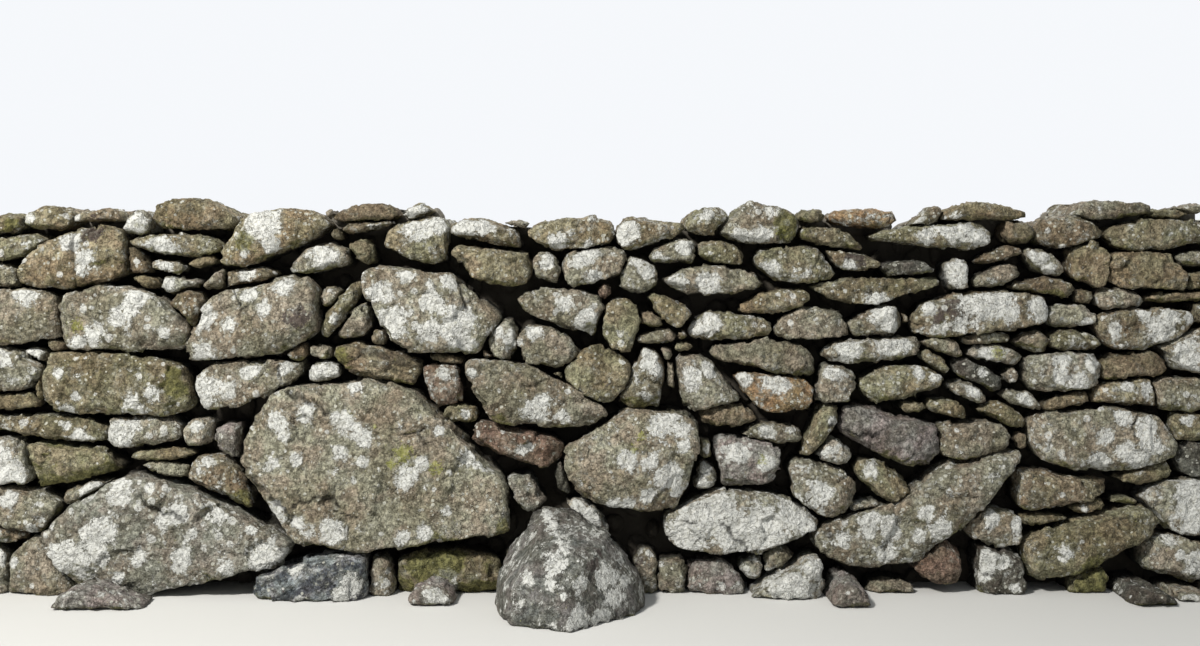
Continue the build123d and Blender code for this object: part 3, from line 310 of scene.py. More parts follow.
def lichened_granite(name, streaks=1.0, streak_angle=0.0, crust_scale=12.0, tufted=0.75, filmed=0.42):
    """Coarse granite with crisp grey-white crusts of lichen, round spots of it, moss, and painted shade
    towards the back of its joints and along its cracks. The crusts are smaller with a larger crust_scale,
    more ragged with more tufted, and drawn out streaks times down a slope of streak_angle degrees. The thin
    grey film round them is as dense as filmed."""
    material, tree = bare_material(name)
    times, plus, less = (partial(add_maths, tree, step) for step in ("MULTIPLY", "ADD", "SUBTRACT"))
    vector, blend = partial(add_vector, tree), partial(add_blend, tree)
    ramp = partial(add_ramp, tree, shape="SMOOTHSTEP")

    def attribute(called, output="Fac"):
        return add_node(tree, "ShaderNodeAttribute", attribute_name=called).outputs[output]

    def cloud(at, scale, detail, roughness=0.55):
        return add_cloud(tree, at, scale, detail, roughness)

    def tinted(colour, share, tints):
        return blend(1.0, colour, blend(share, *tints), "MULTIPLY")

    place = add_node(tree, "ShaderNodeTexCoord").outputs["Object"]
    seed = attribute("seed")
    shift = add_node(tree, "ShaderNodeCombineXYZ", {0: seed, 1: times(seed, 0.37), 2: times(seed, 1.71)})
    own = vector("ADD", place, shift.outputs[0])
    slope = {"Vector": own, "Rotation": (0, math.radians(streak_angle), 0), "Scale": (1 / streaks, 1, 1)}
    drawn = add_node(tree, "ShaderNodeMapping", slope, vector_type="TEXTURE").outputs[0]
    crust_share, moss_share, spot_share = split(tree, attribute("growth", "Vector"))
    white_patch, yellow_patch, dark_patch = split(tree, attribute("painted", "Color"), "Color")
    moss_patch = attribute("painted", "Alpha")

    # the stone itself: broad stains, drifts of hue, coarse crystals, pale and dark grains, dark blots
    stone = tinted(attribute("tone", "Color"), ramp(cloud(own, 5.0, 4), 0.38, 0.62), BROAD_TINTS)
    stone = tinted(stone, ramp(cloud(own, 9, 5, 0.6), 0.40, 0.60), HUE_TINTS)
    crystals = cloud(own, 46, 6, 0.70)
    stone = tinted(stone, ramp(crystals, 0.40, 0.58), CRYSTAL_TINTS)
    grain = cloud(own, 125, 4, 0.8)
    stone = blend(ramp(grain, 0.54, 0.60), stone, PALE_GRAIN, "MULTIPLY")
    stone = blend(ramp(grain, 0.44, 0.39), stone, DARK_GRAIN, "MULTIPLY")
    stained = ramp(plus(cloud(own, 22, 4, 0.7), times(dark_patch, DARK_PULL)), 0.68, 0.72)
    stone = blend(times(stained, 0.85), stone, STAIN)

    # the layers of the few stones that show them
    layered, layer_slope, _ = split(tree, attribute("layers", "Vector"))
    tilt = add_node(tree, "ShaderNodeCombineXYZ", {1: layer_slope}).outputs[0]
    along = {"Vector": own, "Rotation": tilt, "Scale": (6, 1, 1)}
    beds = add_node(tree, "ShaderNodeMapping", along, vector_type="TEXTURE").outputs[0]
    stone = blend(layered, stone, tinted(stone, ramp(cloud(beds, 26, 4, 0.6), 0.42, 0.56), LAYER_TINTS))

    # the white crusts, with a ragged edge and a film round them
    warp = vector("SCALE", add_cloud(tree, own, 38, 5, output="Color"), 0.03)
    ragged = vector("ADD", own, warp)
    tufts = times(less(cloud(ragged, 40, 6, 0.78), 0.5), tufted)
    growing = plus(plus(cloud(drawn, crust_scale, 8, 0.72), tufts), times(white_patch, WHITE_PULL))
    growing = less(growing, less(0.69, times(crust_share, 0.20)))
    crust = ramp(growing, -0.004, 0.008)
    film = ramp(growing, -0.15, -0.02)
    holes = ramp(cloud(own, 85, 5, 0.8), 0.412, 0.44)
    crust_colour = blend(ramp(cloud(ragged, 30, 6, 0.75), 0.36, 0.50), *CRUST)

    # the round spots, large and small, the black ones and the yellow
    frayed = vector("ADD", own, vector("SCALE", warp, 0.4))

    def spots(scale, size):
        cells = add_node(tree, "ShaderNodeTexVoronoi", {"Vector": frayed, "Scale": scale}, feature="F1")
        odds = split(tree, cells.outputs["Color"], "Color")[0]
        radius = times(less(odds, less(1.0, spot_share)), size)
        return ramp(less(radius, cells.outputs["Distance"]), -0.02, 0.04)

    black = ramp(cloud(ragged, 52, 5, 0.78), 0.595, 0.625)
    yellow = ramp(plus(cloud(own, 70, 5, 0.78), times(yellow_patch, YELLOW_PULL)), 0.64, 0.68)

    # moss, most of it where a stone turns down
    upward = split(tree, add_node(tree, "ShaderNodeNewGeometry").outputs["Normal"])[2]
    wet = plus(ramp(upward, 0.1, -0.7, 0.0, 0.2), times(moss_patch, MOSS_PULL))
    mossy = less(cloud(own, 8, 6, 0.7), less(0.76, plus(times(moss_share, 0.3), wet)))

    surface = stone
    for share, density, colour in (
        (film, filmed, blend(ramp(crystals, 0.42, 0.56), *FILM)),
        (spots(52, 0.8), 0.75, PALE_SPOT),
        (times(spots(19, 0.62), holes), 0.8, crust_colour),
        (crust, ramp(holes, 0, 1, 0.25, 1.0), crust_colour),
        (black, 0.7, BLACK_SPOT),
        (yellow, 0.6, YELLOW_SPOT),
        (ramp(mossy, -0.04, 0.10), 0.75, blend(ramp(crystals, 0.4, 0.6), *MOSS)),
    ):
        surface = blend(times(share, density), surface, colour)

    # painted shade where the stone runs back into a joint, and in its cracks
    joint_shade = ramp(attribute("recess"), 0.02, 0.55, 1.0, 0.13)
    shade = times(joint_shade, ramp(attribute("crack"), 0.0, 1.0, 1.0, 0.3))
    shade_colour = add_node(tree, "ShaderNodeCombineColor", {0: shade, 1: shade, 2: shade}).outputs[0]
    surface = blend(1.0, surface, shade_colour, "MULTIPLY")

    hollows = cloud(own, 28, 3, 0.6)
    creases = ramp(add_maths(tree, "ABSOLUTE", less(hollows, 0.5)), 0.035, 0.0, 0.0, 0.35)
    height = plus(times(hollows, 1.15), times(cloud(own, 80, 2, 0.6), 0.7))
    height = plus(less(height, creases), times(crust, 0.12))
    relief = add_node(tree, "ShaderNodeBump", {"Height": height, "Strength": 0.9, "Distance": 0.015})
    shader = add_node(tree, "ShaderNodeBsdfPrincipled", {
        "Base Color": surface, "Roughness": 0.93, "Specular IOR Level": 0.25, "Normal": relief.outputs[0],
    })
    add_node(tree, "ShaderNodeOutputMaterial", {"Surface": shader.outputs[0]})
    return material


GRANITE = lichened_granite("lichened_granite")


def new_tree(name, sizes):
    """A Geometry Nodes tree with these named inputs, and what its input node gives."""
    tree = bpy.data.node_groups.new(name, "GeometryNodeTree")

    def socket(called, kind, side="INPUT"):
        return tree.interface.new_socket(called, in_out=side, socket_type=f"NodeSocket{kind}")

    socket("Geometry", "Geometry")
    for called, value in sizes.items():
        socket(called, "Int" if isinstance(value, int) else "Float").default_value = value
    socket("Material", "Material")
    socket("Geometry", "Geometry", "OUTPUT")
    return tree, add_node(tree, "NodeGroupInput").outputs


def end_tree(tree, geometry, material):
    """The last steps of a tree: real geometry, in its material."""
    real = add_node(tree, "GeometryNodeRealizeInstances", {0: geometry}).outputs[0]
    faced = add_node(tree, "GeometryNodeSetMaterial", {0: real, "Material": material}).outputs[0]
    add_node(tree, "NodeGroupOutput", {0: faced})


# A broken face is as wide as a share of the stone, but no narrower and no wider than this.
NARROWEST_BREAK, WIDEST_BREAK = 0.045, 0.17


def roughening_tree():
    """Lumps, dints, flat broken faces that each slope their own way, and a few cracks: larger on a large
    stone and different on each."""
    tree, start = new_tree("roughening", {
        "Lump Scale": 6.5, "Lump Depth": 0.07, "Dint Scale": 21.0, "Dint Depth": 0.036, "Break Size": 0.5,
        "Break Slope": 0.12, "Crack Spacing": 0.42, "Crack Width": 0.006, "Crack Depth": 0.010,
    })
    times, plus, less = (partial(add_maths, tree, step) for step in ("MULTIPLY", "ADD", "SUBTRACT"))
    maths, vector, ramp = (partial(add, tree) for add in (add_maths, add_vector, add_ramp))

    def named(called):
        return add_node(tree, "GeometryNodeInputNamedAttribute", {0: called}, data_type="FLOAT").outputs[0]

    position = add_node(tree, "GeometryNodeInputPosition").outputs[0]
    normal = add_node(tree, "GeometryNodeInputNormal").outputs[0]
    seed, girth = named("seed"), named("girth")

    def noise(scale, detail, output="Fac"):
        inputs = {"Vector": position, "W": seed, "Scale": scale, "Detail": detail, "Roughness": 0.6}
        return add_node(tree, "ShaderNodeTexNoise", inputs, noise_dimensions="4D").outputs[output]

    def push(scale, detail, depth):
        return times(less(noise(scale, detail), 0.5), depth)

    lumps = push(start["Lump Scale"], 2.0, times(start["Lump Depth"], girth))
    dints = push(start["Dint Scale"], 4.0, times(start["Dint Depth"], ramp(girth, 0.03, 0.12, 0.45)))

    # the broken faces: cells with wandering edges, each a plane about its own middle
    own = vector("ADD", vector("ADD", position, vector("SCALE", noise(9.0, 2.0, "Color"), 0.05)), seed)
    breadth = maths("MAXIMUM", times(girth, start["Break Size"]), NARROWEST_BREAK)
    breadth = maths("MINIMUM", breadth, WIDEST_BREAK)
    on_break = vector("SCALE", own, maths("DIVIDE", 1.0, breadth))
    cells = add_node(tree, "ShaderNodeTexVoronoi", {"Vector": on_break, "Scale": 1.0}, feature="F1").outputs
    own_way = vector("SUBTRACT", cells["Color"], (0.5, 0.5, 0.5))
    sloped = vector("DOT_PRODUCT", vector("SUBTRACT", on_break, cells["Position"]), own_way)
    steepness = times(start["Break Slope"], ramp(girth, 0.08, 0.22, 3.6, 1.9))
    broken = times(times(sloped, breadth), steepness)

    # the cracks: a few thin lines on the large stones, and those whose place is known
    spread = {"Vector": own, "Scale": maths("DIVIDE", 1.0, start["Crack Spacing"])}
    web = add_node(tree, "ShaderNodeTexVoronoi", spread, feature="DISTANCE_TO_EDGE").outputs["Distance"]
    away = maths("DIVIDE", times(web, start["Crack Spacing"]), start["Crack Width"])
    few = ramp(noise(4.0, 1.0), 0.58, 0.63)
    line = times(times(ramp(away, 1.0, 0.3), few), ramp(girth, 0.12, 0.2))
    crack = maths("MAXIMUM", line, named("split"))

    total = less(plus(plus(lumps, dints), broken), times(crack, start["Crack Depth"]))
    # the crack is kept on the stone as well, for the painted shade along it in the granite
    marking = {"Geometry": start["Geometry"], "Name": "crack", "Value": crack}
    marked = add_node(tree, "GeometryNodeStoreNamedAttribute", marking, data_type="FLOAT", domain="POINT")
    moving = {"Geometry": marked.outputs[0], "Offset": vector("SCALE", normal, total)}
    moved = add_node(tree, "GeometryNodeSetPosition", moving).outputs[0]
    end_tree(tree, moved, start["Material"])
    return tree


ROUGHENING = roughening_tree()


def placed(name, data):
    """An object of this data, in the scene."""
    made = bpy.data.objects.new(name, data)
    bpy.context.scene.collection.objects.link(made)
    return made


def plain_mesh(piece):
    """Turns what the piece's modifiers make into its own mesh."""
    bpy.context.view_layer.update()
    graph = bpy.context.evaluated_depsgraph_get()
    finished = piece.evaluated_get(graph)
    done = bpy.data.meshes.new_from_object(finished, preserve_all_data_layers=True, depsgraph=graph)
    piece.modifiers.clear()
    piece.data = done


def run_tree(piece, group, **values):
    """Runs a tree on the piece, with its inputs set by their sockets' identifiers, and keeps what it makes
    as the piece's mesh. No corner of it passes the CAD model's box."""
    modifier = piece.modifiers.new(group.name, "NODES")
    modifier.node_group = group
    for item in group.interface.items_tree:
        called = item.name.replace(" ", "_").lower()
        if item.in_out == "INPUT" and called in values:
            modifier[item.identifier] = values[called]
    plain_mesh(piece)
    mesh = piece.data
    places = np.empty(len(mesh.vertices) * 3)
    mesh.vertices.foreach_get("co", places)
    places = np.clip(places.reshape(-1, 3), np.array(cad_box[0]), np.array(cad_box[1]))
    mesh.vertices.foreach_set("co", places.ravel())
    mesh.update()


# Where the large patches of lichen, moss and stain lie on the front, and its main cracks, in centimetres
# along the wall from its left end and up from the ground. A patch is given with its radius, and one may
# reach over a joint onto the next stone.
WHITE_PATCHES = (
    # the top stones
    (59, 149, 2), (82, 146, 4), (94, 137, 4), (41, 148, 2), (135, 148, 7), (139, 138, 3), (128, 135, 2),
    (178, 147, 2), (197, 146, 6), (206, 147, 4), (216, 145, 6), (223, 146, 4), (253, 139, 4), (281, 143, 4),
    (313, 150, 2), (334, 141, 4), (326, 141, 3), (398, 147, 2), (415, 144, 6), (421, 141, 5), (401, 142, 4),
    (408, 145, 4),
    # the upper band
    (59, 139, 4), (64, 132, 4), (64, 128, 3), (95, 131, 3), (97, 122, 3), (129, 126, 3), (85, 116, 4),
    (84, 112, 3), (78, 109, 3), (70, 104, 4), (62, 99, 3), (68, 99, 2), (97, 103, 2), (41, 118, 4),
    (145, 123, 4), (113, 110, 4), (137, 113, 3), (113, 96, 4), (123, 107, 3), (131, 118, 3), (110, 106, 3),
    (159, 134, 5), (183, 119, 4), (193, 126, 3), (188, 107, 6), (204, 115, 4), (210, 123, 3), (214, 107, 6),
    (202, 105, 4), (215, 98, 4), (249, 132, 3), (264, 134, 5), (267, 126, 3), (164, 109, 2), (235, 100, 4),
    (229, 103, 3), (244, 104, 4), (265, 106, 5), (256, 115, 3), (304, 137, 3), (294, 132, 3), (285, 132, 3),
    (289, 127, 3), (300, 123, 4), (313, 122, 4), (338, 128, 4), (370, 129, 3), (308, 105, 4), (314, 107, 4),
    (383, 112, 5), (385, 105, 3), (413, 128, 5), (445, 131, 4), (449, 128, 3), (401, 113, 3), (416, 117, 2),
    (422, 113, 6), (430, 117, 5), (433, 111, 3), (445, 112, 4), (413, 106, 3), (407, 105, 2), (465, 107, 2),
    (486, 111, 3), (494, 105, 5), (498, 110, 3), (475, 105, 2), (505, 109, 2),
    # the middle band
    (32, 93, 3), (44, 95, 3), (55, 87, 2), (59, 73, 3), (93, 79, 3), (85, 73, 4), (62, 78, 2), (114, 81, 5),
    (122, 80, 3), (112, 76, 3), (131, 88, 3), (145, 90, 3), (156, 87, 4), (164, 87, 2), (208, 87, 2),
    (370, 97, 4), (386, 100, 5), (289, 93, 4), (293, 88, 3), (306, 85, 4), (314, 89, 3), (327, 85, 3),
    (339, 84, 5), (364, 88, 4), (392, 99, 3), (397, 87, 2), (404, 86, 3), (440, 77, 3), (480, 82, 2),
    (488, 82, 2), (504, 95, 6), (454, 92, 3), (454, 86, 3), (466, 91, 3), (460, 83, 4), (424, 94, 3),
    (423, 87, 2), (419, 80, 3), (219, 87, 2), (246, 75, 4), (244, 72, 5), (256, 70, 3), (216, 71, 2),
    (337, 64, 3), (346, 65, 2), (362, 68, 2), (503, 69, 3), (58, 66, 2), (63, 62, 3), (80, 64, 5),
    (84, 67, 3), (110, 66, 2), (239, 57, 2), (242, 58, 2),
    # the great boulder
    (173, 82, 3), (144, 68, 4), (146, 63, 3), (141, 52, 3), (142, 33, 4), (170, 68, 4), (174, 65, 4),
    (177, 62, 3), (166, 70, 3), (154, 73, 4), (151, 54, 2), (168, 57, 3), (207, 65, 2), (218, 54, 4),
    (224, 52, 3), (200, 53, 3), (194, 48, 4), (165, 26, 5), (156, 27, 3), (193, 23, 3), (201, 25, 3),
    (177, 53, 2), (152, 29, 3), (210, 34, 2),
    # the long slab at the foot
    (74, 24, 6), (64, 15, 6), (68, 10, 4), (58, 17, 4), (83, 44, 4), (79, 40, 3), (94, 43, 2), (100, 31, 3),
    (105, 33, 4), (120, 33, 4), (110, 25, 2), (107, 15, 4), (82, 8, 2), (124, 12, 3), (139, 16, 6),
    (144, 17, 4), (134, 27, 2), (90, 16, 3), (75, 17, 3),
    # the lower band, the base and the footings
    (33, 53, 4), (36, 47, 5), (115, 53, 2), (45, 26, 2), (36, 38, 3), (38, 13, 2), (67, 41, 4), (32, 16, 4),
    (262, 33, 4), (296, 68, 6), (302, 65, 3), (281, 54, 4), (290, 53, 4), (297, 48, 6), (303, 59, 2),
    (276, 36, 3), (281, 36, 3), (288, 40, 3), (300, 41, 3), (311, 50, 3), (313, 57, 2), (310, 44, 2),
    (325, 56, 4), (336, 52, 3), (357, 41, 4), (355, 37, 2), (378, 49, 3), (313, 33, 9), (322, 25, 6),
    (305, 25, 5), (335, 26, 6), (347, 32, 5), (352, 27, 3), (330, 19, 4), (354, 12, 4), (342, 6, 5),
    (349, 2, 5), (365, 22, 3), (376, 28, 4), (384, 26, 4), (383, 17, 4), (399, 32, 3), (403, 26, 4),
    (396, 24, 3), (391, 13, 2), (477, 70, 3), (486, 65, 4), (488, 59, 4), (483, 52, 4), (468, 53, 4),
    (470, 62, 3), (477, 56, 4), (436, 27, 3), (425, 30, 3), (423, 15, 4), (422, 9, 3), (429, 13, 2),
    (434, 3, 2), (462, 33, 2), (453, 17, 3), (504, 41, 5), (505, 33, 5), (503, 27, 3), (496, 22, 3),
    (506, 12, 5), (499, 16, 2), (498, 2, 3), (152, 15, 4), (170, 3, 3), (174, 6, 4), (209, 5, 5),
    # the leaning boulder
    (252, 33, 3), (256, 28, 3), (254, 22, 3), (252, 16, 2), (244, 17, 2), (241, 24, 2), (235, 13, 2),
    (264, 32, 3), (268, 27, 2), (277, 21, 5), (272, 16, 3), (280, 14, 3), (275, 8, 3), (262, 4, 3),
    (271, 2, 3), (263, 15, 2), (257, 12, 1),
)
YELLOW_PATCHES = (
    (62, 106, 3), (193, 56, 4), (205, 51, 3), (188, 52, 2), (182, 67, 1), (286, 63, 2), (283, 58, 2),
    (334, 53, 2), (429, 95, 3), (343, 143, 3),
)
DARK_PATCHES = (
    (412, 112, 6), (67, 145, 5), (405, 108, 3), (372, 133, 4), (150, 110, 5), (285, 14, 3), (271, 26, 4),
    (268, 20, 3),
)
CRACKS = (
    # the great boulder: the ledge under its top left corner, the line along its lower left edge, a short one
    ((145, 81), (151, 78), (156, 76), (164, 72)), ((128, 50), (135, 43), (142, 38), (149, 31)),
    ((149, 35), (156, 38), (162, 40), (168, 36)),
    # the long slab, the shield boulder, the block right of it, the white boulder at the foot
    ((88, 40), (97, 34), (108, 31)), ((164, 128), (171, 122), (176, 113)), ((214, 84), (222, 78), (226, 70)),
    ((318, 28), (326, 20), (330, 13)),
    # the crooked boulder's bend, the dark boulder
    ((352, 34), (357, 28), (362, 22)), ((362, 66), (372, 62), (381, 64)),
)
MOSS_PATCHES = (
    (165, 94, 6), (130, 38, 6), (103, 84, 6), (464, 7, 6), (346, 147, 6), (479, 35, 3), (205, 16, 9),
    (128, 139, 4), (35, 145, 5), (233, 28, 3),
)
# A patch is whole in its middle and gone at its rim, which is this many times its radius away.
PATCH_RIM = 1.6
PATCH_MIDDLE = 1.5

# A crack's width, how far its edge is blurred, and how far and how often it wanders off its line.
CRACK_WIDTH = 0.9
CRACK_EDGE = 1.4
CRACK_WOBBLES = ((0.7, 0.9), (0.4, 2.3))

WALL_LENGTH = 5.4


def along_and_up(points):
    """Centimetres along the wall from its left end and up from the ground."""
    return np.column_stack(((points[:, 0] + WALL_LENGTH / 2) * 100, points[:, 2] * 100))


def patch_share(points, patches):
    """How far into one of the patches each point of the front is: 1 well inside, 0 outside."""
    flat = along_and_up(points)
    share = np.zeros(len(points))
    for along, up, radius in patches:
        away = np.hypot(*(flat - (along, up)).T)
        share = np.maximum(share, np.clip(PATCH_MIDDLE * (1 - away / (PATCH_RIM * radius)), 0, 1))
    return share


def crack_share(points):
    """1 along the cracks, falling to 0 a little more than a crack's width away."""
    away = np.full(len(points), np.inf)
    flat = along_and_up(points)
    crossed = flat[:, ::-1].copy()
    for reach, pace in CRACK_WOBBLES:
        flat += reach * np.sin(crossed * pace)
    for line in CRACKS:
        for start, end in zip(np.array(line[:-1], float), np.array(line[1:], float)):
            run = end - start
            share = np.clip(((flat - start) @ run) / (run @ run), 0, 1)
            away = np.minimum(away, np.hypot(*(flat - start - share[:, None] * run).T))
    return np.clip(CRACK_EDGE - away / CRACK_WIDTH, 0, 1)


# The granite's own colours.
TONES = {
    "grey": (0.205, 0.190, 0.153),
    "pale": (0.27, 0.26, 0.225),
    "brown": (0.162, 0.138, 0.099),
    "buff": (0.197, 0.170, 0.118),
    "olive": (0.172, 0.158, 0.108),
    "dark": (0.085, 0.082, 0.075),
    "red": (0.148, 0.108, 0.086),
    "rust": (0.222, 0.158, 0.094),
    "violet": (0.185, 0.17, 0.168),
    "blue": (0.125, 0.133, 0.147),
    "slate": (0.118, 0.119, 0.119),
    "ash": (0.192, 0.187, 0.166),
}

# What grows on it: the shares of white crust, of moss and of small round spots.
COVERS = {
    "bare": (0.0, 0.15, 0.15),
    "spotted": (0.15, 0.15, 0.5),
    "patched": (0.35, 0.12, 0.6),
    "white": (0.75, 0.05, 0.7),
    "mossy": (0.1, 0.75, 0.3),
    "streaked": (0.50, 0.05, 0.25),
}

# How strongly a stone shows its layers, and how they slope, in radians.
LAYERS = {
    "even": (0.0, 0.0, 0.0),
    "rising": (1.0, -0.35, 0.0),
    "falling": (0.6, 0.3, 0.0),
}

# What the roughening and the granite read at each point of a stone, and which of its marks hold it.
MARKS = (
    ("seed", "FLOAT", 0, 1), ("girth", "FLOAT", 1, 2), ("growth", "FLOAT_VECTOR", 2, 5),
    ("layers", "FLOAT_VECTOR", 5, 8), ("tone", "FLOAT_COLOR", 8, 12),
)
LAST_SEED = 60
TONE_SPREAD = (0.88, 1.12)


def marks_of(look, girth, count, chance):
    """A stone's marks, the same at each of its points: its seed and girth, then its growths, layers and
    tone, from a look of its tone, its cover and the way its layers slope, if they show."""
    tone, cover, *way = look.split("/")
    shade = chance.uniform(*TONE_SPREAD)
    layers = LAYERS[way[0]] if way else LAYERS["even"]
    colour = [channel * shade for channel in TONES[tone]]
    marks = [chance.uniform(0, LAST_SEED), girth, *COVERS[cover], *layers, *colour, 1.0]
    return np.tile(marks, (count, 1))


# Painted shade darkens a joint over the depth of the face stones, from the face to the hearting, whose half
# thickness at the ground is known and whose sides lean in. Over this level the stones lie open to the light,
# and the painted shade fades out in the height below it.
HEARTING_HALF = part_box("hearting")[1][1]
LEAN = 0.1
FACE_DEPTH = 0.2
TOP_STONES_UP = 1.44
TOP_STONES_FADE = 0.08

# Patches and cracks lie on what looks to the front by more than the first share, and fade in over the next.
PAINTED_FROM, PAINTED_OVER = 0.15, 0.35


def lay_stones(name, nodes, toward, points, faces, marks, recessed, material, **roughness):
    """A weathered piece of these stones, which then stands for these CAD nodes."""
    mesh = bpy.data.meshes.new(name)
    mesh.from_pydata(points.tolist(), [], faces)
    mesh.polygons.foreach_set("use_smooth", [True] * len(mesh.polygons))
    for called, kind, first, last in MARKS:
        set_attribute(mesh, called, kind, marks[:, first:last])
    # painted shade: darker towards the back of each joint, and none on the top stones
    depth = np.abs(points[:, 1]) - (HEARTING_HALF - LEAN * points[:, 2])
    below_top = np.clip((TOP_STONES_UP - points[:, 2]) / TOP_STONES_FADE, 0, 1)
    recess = np.clip((FACE_DEPTH - depth) / FACE_DEPTH, 0, 1) * below_top * recessed
    normals = np.empty(len(points) * 3)
    mesh.vertices.foreach_get("normal", normals)
    facing = np.clip((-normals[1::3] - PAINTED_FROM) / PAINTED_OVER, 0, 1) * (toward == FRONT)
    all_patches = (WHITE_PATCHES, YELLOW_PATCHES, DARK_PATCHES, MOSS_PATCHES)
    painted = [patch_share(points, patches) * facing for patches in all_patches]
    set_attribute(mesh, "recess", "FLOAT", recess)
    set_attribute(mesh, "split", "FLOAT", crack_share(points) * facing)
    set_attribute(mesh, "painted", "FLOAT_COLOR", np.column_stack(painted))
    piece = placed(name, mesh)
    run_tree(piece, ROUGHENING, material=material, **roughness)
    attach(piece, "root")
    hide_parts(*nodes)


def stone_piece(node, toward, looks, chance, cell=FINE, recessed=True, facets=6, chip=0.13,
                squareness=(8, 16), material=GRANITE, breaks=(), turn=CHIP_TURN, **roughness):
    """All the stones of a CAD node as one piece. Looks gives one tone and cover for each stone, from left
    to right. Squareness is how square their noses are, from the least to the most. Where it is 0, they
    keep the noses of their hulls. A recessed stone gets painted shade towards the back of its joints."""
    points, faces, marks = [], [], []
    count = 0
    for (corners, planes), look in zip(stones_of(node), looks, strict=True):
        nose_power = chance.uniform(*squareness)
        at, over, girth = weather_stone(
            corners, planes, toward, chance, cell, facets, chip, nose_power, breaks, turn
        )
        points.append(at)
        faces += [tuple(place + count for place in face) for face in over]
        count += len(at)
        marks.append(marks_of(look, girth, len(at), chance))
    points, marks = np.concatenate(points), np.concatenate(marks)
    lay_stones(f"{node}_granite", [node], toward, points, faces, marks, recessed, material, **roughness)


for order, (node, look) in enumerate(BOULDERS.items()):
    stone_piece(node, FRONT, [look], random.Random(BOULDER_SEED + order), cell=BOULDER_CELL,
                facets=BOULDER_CHIPS, chip=BOULDER_CHIP_DEPTH,
                squareness=(BOULDER_NOSE_POWER, BOULDER_NOSE_POWER))

# The crooked boulder at the foot, right of the middle: one long granite boulder with a bend, which the
# CAD model gives as two convex solids. They are grown together here, and the bend filled and worn.
CROOKED_NODES = ["slanting_boulder", "slanting_slab"]
CROOKED_SEED = 150
CROOKED_CELL = 0.009
CROOKED_SWELL = 1.012
HALF_CELL = 0.012
HALF_CHIPS = 5
HALF_CHIP_DEPTH = 0.07
BEND_REACH = 0.09
WEAR, WEAR_ROUNDS = 0.5, 8

# Each half is made as a boulder is and swollen a little. The corners of each that lie within reach of the
# other are bridged, and one skin is drawn over it all and worn smooth.
chance = random.Random(CROOKED_SEED)
halves = []
crooked = bmesh.new()
for node in CROOKED_NODES:
    corners, planes = stones_of(node)[0]
    at, over, girth = weather_stone(
        corners, planes, FRONT, chance, HALF_CELL, HALF_CHIPS, HALF_CHIP_DEPTH, BOULDER_NOSE_POWER
    )
    middle = at.mean(axis=0)
    at = middle + (at - middle) * CROOKED_SWELL
    halves.append(at)
    grown = [crooked.verts.new(point) for point in at]
    for face in over:
        crooked.faces.new([grown[place] for place in face])
bend = []
for near, far in (halves, halves[::-1]):
    tree = KDTree(len(far))
    for place, point in enumerate(far):
        tree.insert(point, place)
    tree.balance()
    bend += [crooked.verts.new(point) for point in near if tree.find(point)[2] < BEND_REACH]
made = bmesh.ops.convex_hull(crooked, input=bend)
inside = set(made["geom_interior"] + made["geom_unused"])
unused = [part for part in inside if isinstance(part, bmesh.types.BMVert)]
bmesh.ops.delete(crooked, geom=unused, context="VERTS")
crooked_mesh = bpy.data.meshes.new("crooked_boulder")
crooked.to_mesh(crooked_mesh)
crooked.free()
grown_together = placed("crooked_boulder", crooked_mesh)
remesh = grown_together.modifiers.new("grown_together", "REMESH")
remesh.mode = "VOXEL"
remesh.voxel_size = CROOKED_CELL
wear = grown_together.modifiers.new("wear", "SMOOTH")
wear.factor = WEAR
wear.iterations = WEAR_ROUNDS
plain_mesh(grown_together)
points = np.array([corner.co[:] for corner in grown_together.data.vertices])
faces = [tuple(face.vertices) for face in grown_together.data.polygons]
bpy.data.objects.remove(grown_together)
marks = marks_of("grey/patched", girth, len(points), chance)
lay_stones("crooked_boulder_granite", CROOKED_NODES, FRONT, points, faces, marks, True, GRANITE)

